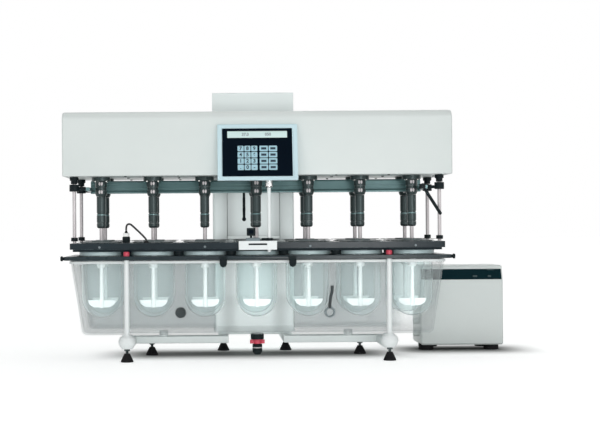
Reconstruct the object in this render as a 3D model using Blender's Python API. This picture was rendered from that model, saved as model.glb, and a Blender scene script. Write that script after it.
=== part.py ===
# Tablet dissolution tester: fourteen glass vessels in a water bath, a lifting drive head
# with fourteen paddle spindles on one belt, and a heating circulator that stands beside it.
# Metres, +Z up. The front faces -Y. The origin is at the middle of the base of the whole set.
import math

import bmesh
import bpy
from mathutils import Matrix, Vector

for item in list(bpy.data.objects):
    bpy.data.objects.remove(item)

# Fits and drawing
gap = 0.0003
overrun = 0.004
sharp_angle = math.radians(40)
quarter_turn = math.pi / 2
merge_distance = 0.000001
round_profile_share = 0.5
vessel_sides = 12
spindle_sides = 8
housing_sides = 10
round_sides = 16
corner_steps = 3

# Vessel grid
columns = 7
vessel_pitch = 0.136
row_spacing = 0.137
column_reach = vessel_pitch * (columns - 1) / 2
row_reach = row_spacing / 2
rod_end_spacing = 0.0675
rod_x = column_reach + rod_end_spacing

# Vessels
vessel_outer_radius = 0.0535
vessel_wall = 0.0025
vessel_bottom = 0.110
vessel_flange_width = 0.0075
vessel_flange_radius = vessel_outer_radius + vessel_flange_width
vessel_flange_thickness = 0.0055
vessel_lip_height = 0.0015
vessel_bowl_rings = 3

# Vessel plate
plate_end_clearance = 0.0105
plate_half_width = rod_x + plate_end_clearance
plate_side_clearance = 0.0105
plate_half_depth = row_reach + vessel_flange_radius + plate_side_clearance
plate_top = 0.306
plate_thickness = 0.016
plate_corner = 0.010
under_layer_thickness = 0.006
under_layer_inset = 0.007
plate_hole_clearance = 0.0015
tongue_inset = 0.006

# Bath
bath_end_clearance = 0.0205
bath_top_half_width = column_reach + vessel_outer_radius + bath_end_clearance
bath_end_inset = 0.025
bath_bottom_half_width = bath_top_half_width - bath_end_inset
bath_side_clearance = 0.016
bath_top_half_depth = row_reach + vessel_outer_radius + bath_side_clearance
bath_side_inset = 0.010
bath_bottom_half_depth = bath_top_half_depth - bath_side_inset
bath_bottom = 0.067
bath_top = 0.262
bath_wall = 0.0045
bath_corner = 0.022
bath_floor_radius = 0.013
rim_end_width = 0.017
rim_half_width = bath_top_half_width + rim_end_width
rim_side_width = 0.027
rim_half_depth = bath_top_half_depth + rim_side_width
rim_thickness = 0.010
rim_corner = 0.016
rim_inner_step = 0.006

# Base frame, feet and posts
base_bottom = 0.033
base_top = 0.052
arm_x = 0.338
arm_width = 0.030
beam_front = 0.027
beam_depth = 0.050
leg_inner = 0.074
leg_width = 0.027
bridge_thickness = 0.008
hub_radius = 0.0225
hub_bottom = 0.034
hub_top = 0.070
hub_neck_radius = 0.011
hub_shoulder_radius = 0.019
hub_shoulder_share = 0.65
post_clearance = 0.012
post_y = -bath_top_half_depth - post_clearance
post_radius = 0.0065
post_cap_radius = 0.0080
post_hole_clearance = 0.0006
foot_radius = 0.0165
foot_height = 0.022
foot_sole_share = 0.17
foot_cone_share = 0.85
foot_neck_radius = 0.0075
stud_radius = 0.004
outer_foot_x = 0.282
outer_foot_y = 0.053
inner_foot_x = 0.087
inner_foot_y = 0.182
pad_radius = 0.012
front_pad_inset = 0.028
front_pad_y = front_pad_inset - bath_bottom_half_depth
rear_pad_x = 0.250

# Column and lifting mast
column_half_width = 0.114
column_front = 0.190
column_depth = 0.122
column_top = 0.7137
column_wall = 0.006
column_corner = 0.008
slot_half_width = 0.074
slot_bottom = 0.312
mast_web_clearance = 0.001
mast_bottom = 0.320
mast_rear_space = 0.016
mast_wall = 0.005
mast_cap_thickness = 0.008

# Drive head
head_end_clearance = 0.0255
head_half_width = rod_x + head_end_clearance
head_front = -0.163
head_back = 0.185
head_bottom = 0.479
head_top = 0.644
head_slope_height = 0.015
head_slope_depth = 0.014
head_wall = 0.003
head_bevel = 0.005
chassis_thickness = 0.008

# Bearing housings
housing_flange_radius = 0.0245
housing_flange_bottom = 0.468
housing_radius = 0.0155
housing_cone_top = 0.435
housing_bottom = 0.4285

# Spindles and paddles
spindle_shaft_radius = 0.006
tube_radius = 0.012
tube_top = 0.428
chuck_groove_top = 0.3815
chuck_groove_height = 0.003
chuck_groove_radius = 0.0105
chuck_bottom = 0.345
chuck_round = 0.004
paddle_shaft_radius = 0.005
collar_radius = 0.012
collar_top = 0.252
collar_bottom = 0.240
blade_top = 0.156
blade_height = 0.019
blade_half_width = 0.03725
blade_bottom_half_width = 0.021
blade_thickness = 0.004
blade_arc_steps = 3
pulley_radius = 0.020
pulley_bottom = 0.504
pulley_height = 0.018

# Belt and motor
belt_thickness = 0.0022
belt_edge = 0.002
belt_arc_steps = 4
motor_x = 0.455
motor_radius = 0.033
motor_clearance = 0.008
motor_bottom = pulley_bottom + pulley_height + motor_clearance
motor_height = 0.075
motor_flange_half = 0.036
motor_flange_thickness = 0.005
motor_leg = 0.008
motor_shaft_radius = 0.005

# Control panel
panel_half_width = 0.102
panel_bottom = 0.464
panel_top = 0.608
panel_foot_depth = 0.050
panel_head_depth = 0.014
panel_bezel = 0.010
panel_recess = 0.0020

# Keypad
key_columns = 5
key_rows = 4
key_width = 0.0155
key_height = 0.0100
key_pitch_x = 0.0205
key_pitch_y = 0.0150
key_rise = 0.0012
keypad_sheet = 0.0010
keypad_centre_shares = (0.10, 0.33)
keypad_margin = 0.005

# Guide rods
rod_y = 0.104
rod_radius = 0.00475
rod_collar_radius = 0.009
rod_collar_height = 0.010
rod_knob_radius = 0.0105
rod_knob_height = 0.016
rod_knob_round_share = 0.33
rod_neck_radius = 0.0070

# Manifold between the rows
link_length = 0.0355
beam_half_length = rod_x - link_length
beam_half_thickness = 0.011
beam_bottom = 0.437
beam_top = 0.471
beam_lip = 0.004
yoke_width = 0.010
yoke_bottom = 0.442
yoke_height = 0.010
link_radius = 0.004
sleeve_radius = 0.0125
sleeve_bottom = 0.441
sleeve_height = 0.018
handle_x = -0.031
handle_radius = 0.0035
handle_ball_radius = 0.0055
handle_bottom = 0.361
handle_ball_rings = 3

# Lever on the manifold
lever_inset = 0.010
lever_x = beam_half_length - lever_inset
lever_y = -0.122
lever_z = 0.449
lever_length = 0.082
lever_radius = 0.00425
lever_angle = math.radians(32.3)
lever_boss_radius = 0.0070
lever_pin_radius = 0.0030
lever_block_half_width = 0.006
lever_tip_share = 0.5

# Sampling pipe and its holder
pipe_x = 0.030
pipe_y = -0.153
pipe_radius = 0.005
pipe_tip = 0.281
pipe_fitting_radius = 0.010
pipe_fitting_bottom = 0.447
holder_half_width = 0.049
holder_bottom = 0.287
holder_depth = 0.025
holder_top_thickness = 0.0035
holder_hook_depth = 0.0085
holder_wedge_half_width = 0.018
holder_wedge_height = 0.008
holder_wedge_x = -0.012
holder_slot_half_width = 0.024
holder_slot_height = 0.003
sensor_box_left = -0.028
sensor_box_width = 0.022
sensor_box_bottom = 0.323
sensor_box_height = 0.020
sensor_box_depth = 0.014
sensor_stem_half = 0.003
clamp_ring_radius = 0.0100
clamp_bore_clearance = 0.0012
clamp_height = 0.007
clamp_lever_length = 0.020
clamp_lever_half_width = 0.0045

# Temperature probe and its cable
probe_x = -0.340
probe_y = -0.118
probe_body_radius = 0.0102
probe_body_height = 0.016
probe_nut_radius = 0.0085
probe_nut_height = 0.010
probe_neck_radius = 0.004
probe_neck_height = 0.006
gland_x = -0.287
gland_y = -0.133
gland_radius = 0.0042
gland_height = 0.005
cable_radius = 0.0025
cable_points = [
    (-0.3400, -0.1180, 0.3386),
    (-0.3399, -0.1180, 0.3440),
    (-0.3390, -0.1183, 0.3500),
    (-0.3350, -0.1194, 0.3548),
    (-0.3290, -0.1211, 0.3545),
    (-0.3220, -0.1231, 0.3495),
    (-0.3150, -0.1251, 0.3430),
    (-0.3080, -0.1271, 0.3365),
    (-0.3010, -0.1291, 0.3298),
    (-0.2940, -0.1311, 0.3228),
    (-0.2890, -0.1325, 0.3168),
    (-0.2871, -0.1330, 0.3125),
    (-0.2870, -0.1330, 0.3116),
]

# Rim turn buttons
button_x = 0.089
button_half_width = 0.0095
button_drop = 0.025
button_thickness = 0.005
button_pin_radius = 0.0022
button_pin_length = 0.008
button_round_shares = (0.7, 0.3)
button_top_share = 0.33

# Drain valve
valve_y = -0.065
valve_body_radius = 0.0175
valve_body_bottom = 0.0505
valve_stem_radius = 0.0075
valve_flare_radius = 0.0130
valve_spout_bottom = 0.010
valve_spout_bore = 0.005
valve_seat = 0.018
valve_handle_bottom = 0.038
valve_handle_radius = 0.0105
valve_wing_length = 0.0195
valve_wing_half_width = 0.004

# Heating circulator
circulator_left = 0.461
circulator_right = 0.690
circulator_front = 0.142
circulator_back = 0.302
circulator_bottom = 0.014
circulator_top = 0.2345
circulator_bevel = 0.004
fascia_bottom = 0.194
fascia_top = 0.2255
fascia_lean = 0.012
fascia_thickness = 0.004
fascia_margin = 0.004
circulator_foot_radius = 0.013
circulator_foot_inset = 0.024
port_radius = 0.009
port_bore = 0.006
port_length = 0.016
port_heights = (0.045, 0.080)
port_y = 0.180
inlet_width = 0.027
inlet_height = 0.020
inlet_depth = 0.012
inlet_z = 0.060

# The set's box, which places the origin
middle_x = (circulator_right - head_half_width) / 2
middle_y = (head_front - panel_foot_depth + column_front + column_depth) / 2

root = bpy.data.objects.new("tester", None)
root.location = (-middle_x, -middle_y, 0)
bpy.context.scene.collection.objects.link(root)

column_places = [(index - (columns - 1) / 2) * vessel_pitch for index in range(columns)]
row_places = (-row_reach, row_reach)
vessel_places = [(x, y) for y in row_places for x in column_places]


def finish_material(name, colour, roughness, metallic=0.0, alpha=1.0):
    material = bpy.data.materials.new(name)
    material.use_nodes = True
    shader = material.node_tree.nodes["Principled BSDF"]
    shader.inputs["Base Color"].default_value = (*colour, 1)
    shader.inputs["Roughness"].default_value = roughness
    shader.inputs["Metallic"].default_value = metallic
    shader.inputs["Alpha"].default_value = alpha
    return material


pale_paint = finish_material("pale_paint", (0.66, 0.71, 0.70), 0.45)
dark_plate = finish_material("dark_plate", (0.012, 0.030, 0.040), 0.35)
black_plastic = finish_material("black_plastic", (0.010, 0.012, 0.013), 0.5)
clear_plastic = finish_material("clear_plastic", (0.70, 0.78, 0.78), 0.1, 0.0, 0.35)
glass = finish_material("glass", (0.85, 0.93, 0.93), 0.03, 0.0, 0.3)
steel = finish_material("steel", (0.58, 0.58, 0.55), 0.25, 1.0)
teal_metal = finish_material("teal_metal", (0.055, 0.105, 0.110), 0.3, 0.6)
spindle_grey = finish_material("spindle_grey", (0.040, 0.062, 0.062), 0.35, 0.3)
panel_blue = finish_material("panel_blue", (0.58, 0.75, 0.80), 0.4)
key_blue = finish_material("key_blue", (0.36, 0.55, 0.68), 0.5)
white_plastic = finish_material("white_plastic", (0.80, 0.84, 0.84), 0.4)
red_plastic = finish_material("red_plastic", (0.62, 0.05, 0.09), 0.4)
rubber = finish_material("rubber", (0.008, 0.008, 0.008), 0.7)


def mesh_from(bm):
    bmesh.ops.remove_doubles(bm, verts=bm.verts, dist=merge_distance)
    bmesh.ops.recalc_face_normals(bm, faces=bm.faces)
    mesh = bpy.data.meshes.new("shape")
    bm.to_mesh(mesh)
    bm.free()
    return mesh


def block(low, high):
    # A box between two corners.
    bm = bmesh.new()
    size = [b - a for a, b in zip(low, high)]
    centre = [(a + b) / 2 for a, b in zip(low, high)]
    bmesh.ops.create_cube(bm, size=1.0, matrix=Matrix.Translation(centre) @ Matrix.Diagonal((*size, 1)))
    return mesh_from(bm)


def extrusion(outline, low, high, along="Z"):
    # An outline drawn across one axis and pushed along it, from low to high.
    across = {"X": lambda a, b: (low, a, b), "Y": lambda a, b: (a, low, b), "Z": lambda a, b: (a, b, low)}
    push = {"X": (high - low, 0, 0), "Y": (0, high - low, 0), "Z": (0, 0, high - low)}
    bm = bmesh.new()
    face = bm.faces.new([bm.verts.new(across[along](a, b)) for a, b in outline])
    moved = bmesh.ops.extrude_face_region(bm, geom=[face])["geom"]
    bmesh.ops.translate(bm, verts=[v for v in moved if isinstance(v, bmesh.types.BMVert)], vec=push[along])
    return mesh_from(bm)


def turned(profile, sides):
    # A profile of radius and height, spun about a vertical axis.
    bm = bmesh.new()
    points = [bm.verts.new((radius, 0, height)) for radius, height in profile]
    edges = [bm.edges.new(pair) for pair in zip(points, points[1:])]
    bmesh.ops.spin(
        bm, geom=points + edges, cent=(0, 0, 0), axis=(0, 0, 1), angle=math.tau, steps=sides, use_merge=True
    )
    return mesh_from(bm)


def rounded_ring(half_x, half_y, radius, height):
    # The points of a rounded rectangle at one height.
    points = []
    for quarter, (side_x, side_y) in enumerate(((1, 1), (-1, 1), (-1, -1), (1, -1))):
        for step in range(corner_steps + 1):
            angle = (quarter + step / corner_steps) * quarter_turn
            x = side_x * (half_x - radius) + radius * math.cos(angle)
            y = side_y * (half_y - radius) + radius * math.sin(angle)
            points.append((x, y, height))
    return points


def lofted(rings, closed=False):
    # A skin through rings of points, capped at its two ends or joined round on itself.
    bm = bmesh.new()
    loops = [[bm.verts.new(point) for point in ring] for ring in rings]
    for first, second in zip(loops, loops[1:] + (loops[:1] if closed else [])):
        for index in range(len(first)):
            bm.faces.new((first[index - 1], first[index], second[index], second[index - 1]))
    if not closed:
        bm.faces.new(loops[0])
        bm.faces.new(loops[-1])
    return mesh_from(bm)


def together(*meshes):
    # Several separate shapes in one mesh, to cut or join in one go.
    bm = bmesh.new()
    for mesh in meshes:
        bm.from_mesh(mesh)
    joined = bpy.data.meshes.new("shapes")
    bm.to_mesh(joined)
    bm.free()
    return joined


def combined(first, second, operation):
    holders = [bpy.data.objects.new("holder", mesh) for mesh in (first, second)]
    for holder in holders:
        bpy.context.scene.collection.objects.link(holder)
    modifier = holders[0].modifiers.new("combine", "BOOLEAN")
    modifier.operation = operation
    modifier.solver = "EXACT"
    modifier.object = holders[1]
    bpy.context.view_layer.update()
    evaluated = holders[0].evaluated_get(bpy.context.evaluated_depsgraph_get())
    result = bpy.data.meshes.new_from_object(evaluated)
    for holder in holders:
        bpy.data.objects.remove(holder)
    return result


def fused(first, *others):
    for other in others:
        first = combined(first, other, "UNION")
    return first


def cut(first, *others):
    for other in others:
        first = combined(first, other, "DIFFERENCE")
    return first


def shifted(mesh, x=0.0, y=0.0, z=0.0):
    copy = mesh.copy()
    copy.transform(Matrix.Translation((x, y, z)))
    return copy


def piece(name, mesh, material, location=(0, 0, 0)):
    mesh.materials.clear()
    mesh.materials.append(material)
    mesh.shade_smooth()
    mesh.set_sharp_from_angle(angle=sharp_angle)
    thing = bpy.data.objects.new(name, mesh)
    thing.parent = root
    thing.location = location
    bpy.context.scene.collection.objects.link(thing)
    return thing


def rod_profile(radius, low, high):
    return [(0, low), (radius, low), (radius, high), (0, high)]


def turning_hole(radius, sides):
    # The corner radius of a hole whose flats clear a pin of this radius as it turns.
    return (radius + gap) / math.cos(math.pi / sides)


def bowl_arc(radius, centre_height, rings):
    # Points of a round bottom, from its lowest point up to its side.
    angles = [quarter_turn * step / rings for step in range(rings + 1)]
    return [(radius * math.sin(a), centre_height - radius * math.cos(a)) for a in angles]


def make_vessels():
    bowl_centre = vessel_bottom + vessel_outer_radius
    inner_radius = vessel_outer_radius - vessel_wall
    flange_top = plate_top
    flange_bottom = flange_top - vessel_flange_thickness
    profile = bowl_arc(vessel_outer_radius, bowl_centre, vessel_bowl_rings)
    profile += [
        (vessel_outer_radius, flange_bottom),
        (vessel_flange_radius, flange_bottom),
        (vessel_flange_radius, flange_top),
        (inner_radius, flange_top + vessel_lip_height),
    ]
    profile += reversed(bowl_arc(inner_radius, bowl_centre, vessel_bowl_rings))
    mesh = turned(profile, vessel_sides)
    for number, (x, y) in enumerate(vessel_places, 1):
        piece(f"vessel_{number:02d}", mesh, glass, (x, y, 0))


def make_vessel_plate():
    plate_bottom = plate_top - plate_thickness
    under_bottom = plate_bottom - under_layer_thickness
    tongue_half = column_half_width - tongue_inset
    body = lofted(
        [
            rounded_ring(plate_half_width, plate_half_depth, plate_corner, plate_bottom),
            rounded_ring(plate_half_width, plate_half_depth, plate_corner, plate_top),
        ]
    )
    layer_x = plate_half_width - under_layer_inset
    layer_y = plate_half_depth - under_layer_inset
    layer = lofted(
        [
            rounded_ring(layer_x, layer_y, plate_corner, under_bottom),
            rounded_ring(layer_x, layer_y, plate_corner, plate_bottom + gap),
        ]
    )
    tongue = block(
        (-tongue_half, plate_half_depth - tongue_inset, plate_bottom),
        (tongue_half, column_front - gap, plate_top - gap),
    )
    gland = turned(rod_profile(gland_radius, plate_top - gap, plate_top + gland_height), housing_sides)
    body = fused(body, layer, tongue, shifted(gland, gland_x, gland_y))
    seat_radius = vessel_flange_radius + gap
    seat_height = plate_top - vessel_flange_thickness - gap
    hole_radius = vessel_outer_radius + plate_hole_clearance
    stepped = turned(
        [
            (0, under_bottom - overrun),
            (hole_radius, under_bottom - overrun),
            (hole_radius, seat_height),
            (seat_radius, seat_height),
            (seat_radius, plate_top + overrun),
            (0, plate_top + overrun),
        ],
        vessel_sides,
    )
    body = cut(body, together(*[shifted(stepped, x, y) for x, y in vessel_places]))
    piece("vessel_plate", body, dark_plate)


def bath_ring(half_x, half_y, inset, height):
    corner = max(bath_corner - inset, bath_floor_radius / 2)
    return rounded_ring(half_x - inset, half_y - inset, corner, height)


def make_bath():
    slope_x = (bath_top_half_width - bath_bottom_half_width) / (bath_top - bath_bottom)
    slope_y = (bath_top_half_depth - bath_bottom_half_depth) / (bath_top - bath_bottom)

    def ring(height, inset):
        half_x = bath_bottom_half_width + slope_x * (height - bath_bottom)
        half_y = bath_bottom_half_depth + slope_y * (height - bath_bottom)
        return bath_ring(half_x, half_y, inset, height)

    edge = bath_floor_radius * (1 - math.cos(quarter_turn / 2))
    floor = bath_bottom + bath_wall
    tank = lofted(
        [
            ring(bath_bottom, bath_floor_radius),
            ring(bath_bottom + edge, edge),
            ring(bath_bottom + bath_floor_radius, 0),
            ring(bath_top, 0),
            ring(bath_top, bath_wall),
            ring(floor + bath_floor_radius, bath_wall),
            ring(floor, bath_floor_radius),
        ]
    )
    outlet = turned(rod_profile(valve_spout_bore, bath_bottom - overrun, floor + overrun), housing_sides)
    piece("bath_tank", cut(tank, shifted(outlet, 0, valve_y)), clear_plastic)

    low = bath_top + gap
    high = low + rim_thickness - gap
    inner_x = bath_top_half_width - bath_wall - rim_inner_step
    inner_y = bath_top_half_depth - bath_wall - rim_inner_step
    rim = lofted(
        [
            rounded_ring(rim_half_width, rim_half_depth, rim_corner, low),
            rounded_ring(rim_half_width, rim_half_depth, rim_corner, high),
            rounded_ring(inner_x, inner_y, bath_corner, high),
            rounded_ring(inner_x, inner_y, bath_corner, low),
        ],
        closed=True,
    )
    post_hole = turned(
        rod_profile(post_radius + post_hole_clearance, low - overrun, high + overrun), housing_sides
    )
    posts = together(*[shifted(post_hole, side * arm_x, post_y) for side in (-1, 1)])
    pin_hole = turning_hole(button_pin_radius, housing_sides)
    pin = turned(rod_profile(pin_hole, -overrun, button_pin_length + overrun), housing_sides)
    pin.transform(Matrix.Rotation(-quarter_turn, 4, "X"))
    pins = [shifted(pin, side * button_x, -rim_half_depth, (low + high) / 2) for side in (-1, 1)]
    piece("bath_rim", cut(rim, posts, together(*pins)), black_plastic)


def foot_shape():
    # A rubber cone on its stud, standing on the floor.
    return turned(
        [
            (0, 0),
            (foot_radius, 0),
            (foot_radius, foot_height * foot_sole_share),
            (foot_neck_radius, foot_height * foot_cone_share),
            (stud_radius, foot_height),
            (stud_radius, base_bottom + overrun),
            (0, base_bottom + overrun),
        ],
        housing_sides,
    )


def make_base():
    beam_back = beam_front + beam_depth
    column_back = column_front + column_depth
    arm_inner = arm_x - arm_width / 2
    arm_outer = arm_x + arm_width / 2
    leg_outer = leg_inner + leg_width
    bridge = block(
        (-leg_inner - overrun, column_front, base_top - bridge_thickness),
        (leg_inner + overrun, column_back, base_top),
    )
    body = bridge
    for side in (-1, 1):
        outline = [
            (side * arm_inner, post_y),
            (side * arm_outer, post_y),
            (side * arm_outer, beam_back),
            (side * leg_outer, beam_back),
            (side * leg_outer, column_back),
            (side * leg_inner, column_back),
            (side * leg_inner, beam_front),
            (side * arm_inner, beam_front),
        ]
        body = fused(body, extrusion(outline, base_bottom, base_top))
    hub_middle = (hub_bottom + hub_top) / 2
    hub = turned(
        [
            (0, hub_bottom),
            (hub_neck_radius, hub_bottom),
            (hub_shoulder_radius, hub_middle + (hub_bottom - hub_middle) * hub_shoulder_share),
            (hub_radius, hub_middle),
            (hub_shoulder_radius, hub_middle + (hub_top - hub_middle) * hub_shoulder_share),
            (hub_neck_radius, hub_top),
            (0, hub_top),
        ],
        round_sides,
    )
    pad = turned(rod_profile(pad_radius, base_top - overrun, bath_bottom - gap), housing_sides)
    foot = foot_shape()
    hub_foot = fused(hub, foot)
    hubs = together(*[shifted(hub_foot, side * arm_x, post_y) for side in (-1, 1)])
    outer_feet = [shifted(foot, side * outer_foot_x, outer_foot_y) for side in (-1, 1)]
    inner_feet = [shifted(foot, side * inner_foot_x, inner_foot_y) for side in (-1, 1)]
    front_pads = [shifted(pad, side * arm_x, front_pad_y) for side in (-1, 1)]
    rear_pads = [shifted(pad, side * rear_pad_x, beam_front + beam_depth / 2) for side in (-1, 1)]
    body = fused(body, hubs, together(*outer_feet, *inner_feet), together(*front_pads, *rear_pads))
    piece("base_frame", body, pale_paint)

    rim_top = bath_top + rim_thickness
    under_plate = plate_top - plate_thickness - under_layer_thickness
    post = turned(
        [
            (0, hub_top + gap),
            (post_radius, hub_top + gap),
            (post_radius, rim_top + gap),
            (post_cap_radius, rim_top + gap),
            (post_cap_radius, under_plate - gap),
            (0, under_plate - gap),
        ],
        round_sides,
    )
    for side, word in ((-1, "left"), (1, "right")):
        piece(f"support_post_{word}", post, white_plastic, (side * arm_x, post_y, 0))


def make_column():
    back = column_front + column_depth
    bottom = base_top + gap
    housing = lofted(
        [
            [(x, y + (column_front + back) / 2, bottom) for x, y, _ in rounded_ring(
                column_half_width, column_depth / 2, column_corner, 0)],
            [(x, y + (column_front + back) / 2, column_top) for x, y, _ in rounded_ring(
                column_half_width, column_depth / 2, column_corner, 0)],
        ]
    )
    inside = block(
        (-column_half_width + column_wall, column_front + column_wall, bottom + column_wall),
        (column_half_width - column_wall, back - column_wall, column_top + overrun),
    )
    slot = block(
        (-slot_half_width, column_front - overrun, slot_bottom),
        (slot_half_width, column_front + column_wall + overrun, column_top + overrun),
    )
    piece("column_housing", cut(housing, inside, slot), pale_paint)

    web_half = slot_half_width - mast_web_clearance
    slide_half = column_half_width - column_wall - gap
    slide_front = column_front + column_wall + gap
    slide_back = back - column_wall - mast_rear_space
    outline = [
        (-web_half, head_back + gap),
        (web_half, head_back + gap),
        (web_half, slide_front),
        (slide_half, slide_front),
        (slide_half, slide_back),
        (-slide_half, slide_back),
        (-slide_half, slide_front),
        (-web_half, slide_front),
    ]
    mast = extrusion(outline, mast_bottom, column_top + gap * 2)
    cap = block(
        (-column_half_width, head_back + gap, column_top + gap),
        (column_half_width, back, column_top + gap + mast_cap_thickness),
    )
    hollow = block(
        (-slide_half + mast_wall, slide_front + mast_wall, mast_bottom - overrun),
        (slide_half - mast_wall, slide_back - mast_wall, column_top - mast_wall),
    )
    piece("head_mast", cut(fused(mast, cap), hollow), pale_paint)


def head_outline(inset, bottom):
    slope_y = head_front + head_slope_depth
    return [
        (head_front + inset, bottom),
        (head_front + inset, head_top - head_slope_height - inset / 2),
        (slope_y + inset / 2, head_top - inset),
        (head_back - inset, head_top - inset),
        (head_back - inset, bottom),
    ]


def make_head():
    bm = bmesh.new()
    bm.from_mesh(extrusion(head_outline(0, head_bottom), -head_half_width, head_half_width, "X"))
    edges = [
        edge
        for edge in bm.edges
        if max(v.co.z for v in edge.verts) > head_bottom + head_bevel
    ]
    bmesh.ops.bevel(
        bm, geom=edges, offset=head_bevel, segments=2, profile=round_profile_share, affect="EDGES"
    )
    outer = mesh_from(bm)
    inner_half = head_half_width - head_wall
    inner = extrusion(head_outline(head_wall, head_bottom - overrun), -inner_half, inner_half, "X")
    piece("head_cover", cut(outer, inner), pale_paint)

    chassis_top = head_bottom + chassis_thickness
    edge_x = inner_half - gap
    sheet = block(
        (-edge_x, head_front + head_wall + gap, head_bottom),
        (edge_x, head_back - head_wall - gap, chassis_top),
    )
    bore_radius = turning_hole(spindle_shaft_radius, spindle_sides)
    housing = turned(
        [
            (0, head_bottom + overrun),
            (housing_flange_radius, head_bottom + overrun),
            (housing_flange_radius, housing_flange_bottom),
            (housing_radius, housing_flange_bottom),
            (housing_radius, housing_cone_top),
            (tube_radius, housing_bottom),
            (0, housing_bottom),
        ],
        housing_sides,
    )
    bore = turned(rod_profile(bore_radius, housing_bottom - overrun, chassis_top + overrun), spindle_sides)
    chassis = fused(sheet, together(*[shifted(housing, x, y) for x, y in vessel_places]))
    chassis = cut(chassis, together(*[shifted(bore, x, y) for x, y in vessel_places]))
    piece("head_chassis", chassis, spindle_grey)


def make_spindles():
    chuck_groove_bottom = chuck_groove_top - chuck_groove_height
    pulley_top = pulley_bottom + pulley_height
    blade_bottom = blade_top - blade_height
    stem = turned(
        [
            (0, pulley_top),
            (pulley_radius, pulley_top),
            (pulley_radius, pulley_bottom),
            (spindle_shaft_radius, pulley_bottom),
            (spindle_shaft_radius, tube_top),
            (tube_radius, tube_top),
            (tube_radius, chuck_groove_top),
            (chuck_groove_radius, (chuck_groove_top + chuck_groove_bottom) / 2),
            (tube_radius, chuck_groove_bottom),
            (tube_radius, chuck_bottom + chuck_round),
            (tube_radius - chuck_round, chuck_bottom),
            (paddle_shaft_radius, chuck_bottom),
            (paddle_shaft_radius, collar_top),
            (collar_radius, collar_top),
            (collar_radius, collar_bottom),
            (paddle_shaft_radius, collar_bottom),
            (paddle_shaft_radius, blade_bottom + gap),
            (0, blade_bottom + gap),
        ],
        spindle_sides,
    )
    rise = blade_height / (blade_arc_steps + 1)
    ends = []
    for step in range(blade_arc_steps + 2):
        share = math.sin(quarter_turn * step / (blade_arc_steps + 1))
        width = blade_bottom_half_width + (blade_half_width - blade_bottom_half_width) * share
        ends.append((width, blade_bottom + rise * step))
    outline = [(-x, z) for x, z in reversed(ends)] + ends
    blade = extrusion(outline, -blade_thickness / 2, blade_thickness / 2, "Y")
    mesh = fused(stem, blade)
    for number, (x, y) in enumerate(vessel_places, 1):
        piece(f"spindle_{number:02d}", mesh, spindle_grey, (x, y, 0))


def belt_outline(radius):
    # The path round the outside of equal pulleys, with an arc at each corner.
    end = column_places[-1]
    centres = [
        (-end, row_places[0]),
        (end, row_places[0]),
        (motor_x, 0),
        (end, row_places[1]),
        (-end, row_places[1]),
    ]
    points = []
    for index, (x, y) in enumerate(centres):
        before = centres[index - 1]
        after = centres[(index + 1) % len(centres)]
        start = math.atan2(y - before[1], x - before[0]) - quarter_turn
        stop = math.atan2(after[1] - y, after[0] - x) - quarter_turn
        sweep = (stop - start) % math.tau
        for step in range(belt_arc_steps + 1):
            angle = start + sweep * step / belt_arc_steps
            points.append((x + radius * math.cos(angle), y + radius * math.sin(angle)))
    return points


def make_drive():
    low = pulley_bottom + belt_edge
    high = pulley_bottom + pulley_height - belt_edge
    # The flats of a quarter turn's arc lie inside its radius by this share.
    flat_share = math.cos(quarter_turn / belt_arc_steps / 2)
    inner_radius = (pulley_radius + gap) / flat_share
    inner = belt_outline(inner_radius)
    outer = belt_outline(inner_radius + belt_thickness)
    belt = lofted(
        [
            [(x, y, low) for x, y in outer],
            [(x, y, high) for x, y in outer],
            [(x, y, high) for x, y in inner],
            [(x, y, low) for x, y in inner],
        ],
        closed=True,
    )
    piece("drive_belt", belt, rubber)

    chassis_top = head_bottom + chassis_thickness
    flange_top = motor_bottom + motor_flange_thickness
    plate = block(
        (-motor_flange_half, -motor_flange_half, motor_bottom),
        (motor_flange_half, motor_flange_half, flange_top),
    )
    can = turned(rod_profile(motor_radius, flange_top - gap, motor_bottom + motor_height), round_sides)
    reach = motor_flange_half - motor_leg / 2
    legs = []
    for x, y in ((reach, reach), (reach, -reach), (-reach, 0)):
        legs.append(
            block(
                (x - motor_leg / 2, y - motor_leg / 2, chassis_top + gap),
                (x + motor_leg / 2, y + motor_leg / 2, flange_top - gap),
            )
        )
    shaft_hole = turned(
        rod_profile(
            turning_hole(motor_shaft_radius, round_sides),
            motor_bottom - overrun,
            motor_bottom + motor_height / 2,
        ),
        round_sides,
    )
    motor = cut(fused(plate, can, together(*legs)), shaft_hole)
    piece("drive_motor", motor, black_plastic, (motor_x, 0, 0))
    rotor = turned(
        [
            (0, pulley_bottom),
            (pulley_radius, pulley_bottom),
            (pulley_radius, pulley_bottom + pulley_height),
            (motor_shaft_radius, pulley_bottom + pulley_height),
            (motor_shaft_radius, motor_bottom + motor_height / 2 - gap),
            (0, motor_bottom + motor_height / 2 - gap),
        ],
        round_sides,
    )
    piece("motor_pulley", rotor, steel, (motor_x, 0, 0))


def panel_frame():
    # The slope of the panel's face: its foot, the way up it and the way out of it.
    foot = (head_front - panel_foot_depth, panel_bottom)
    head = (head_front - panel_head_depth, panel_top)
    length = math.dist(foot, head)
    up = ((head[0] - foot[0]) / length, (head[1] - foot[1]) / length)
    return foot, up, (-up[1], up[0]), length


def on_panel(mesh):
    # Moves a shape drawn flat, with its own Y up the panel and Z out of it, onto the slope.
    foot, up, out, _ = panel_frame()
    mesh.transform(
        Matrix(((1, 0, 0, 0), (0, up[0], out[0], foot[0]), (0, up[1], out[1], foot[1]), (0, 0, 0, 1)))
    )
    return mesh


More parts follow.
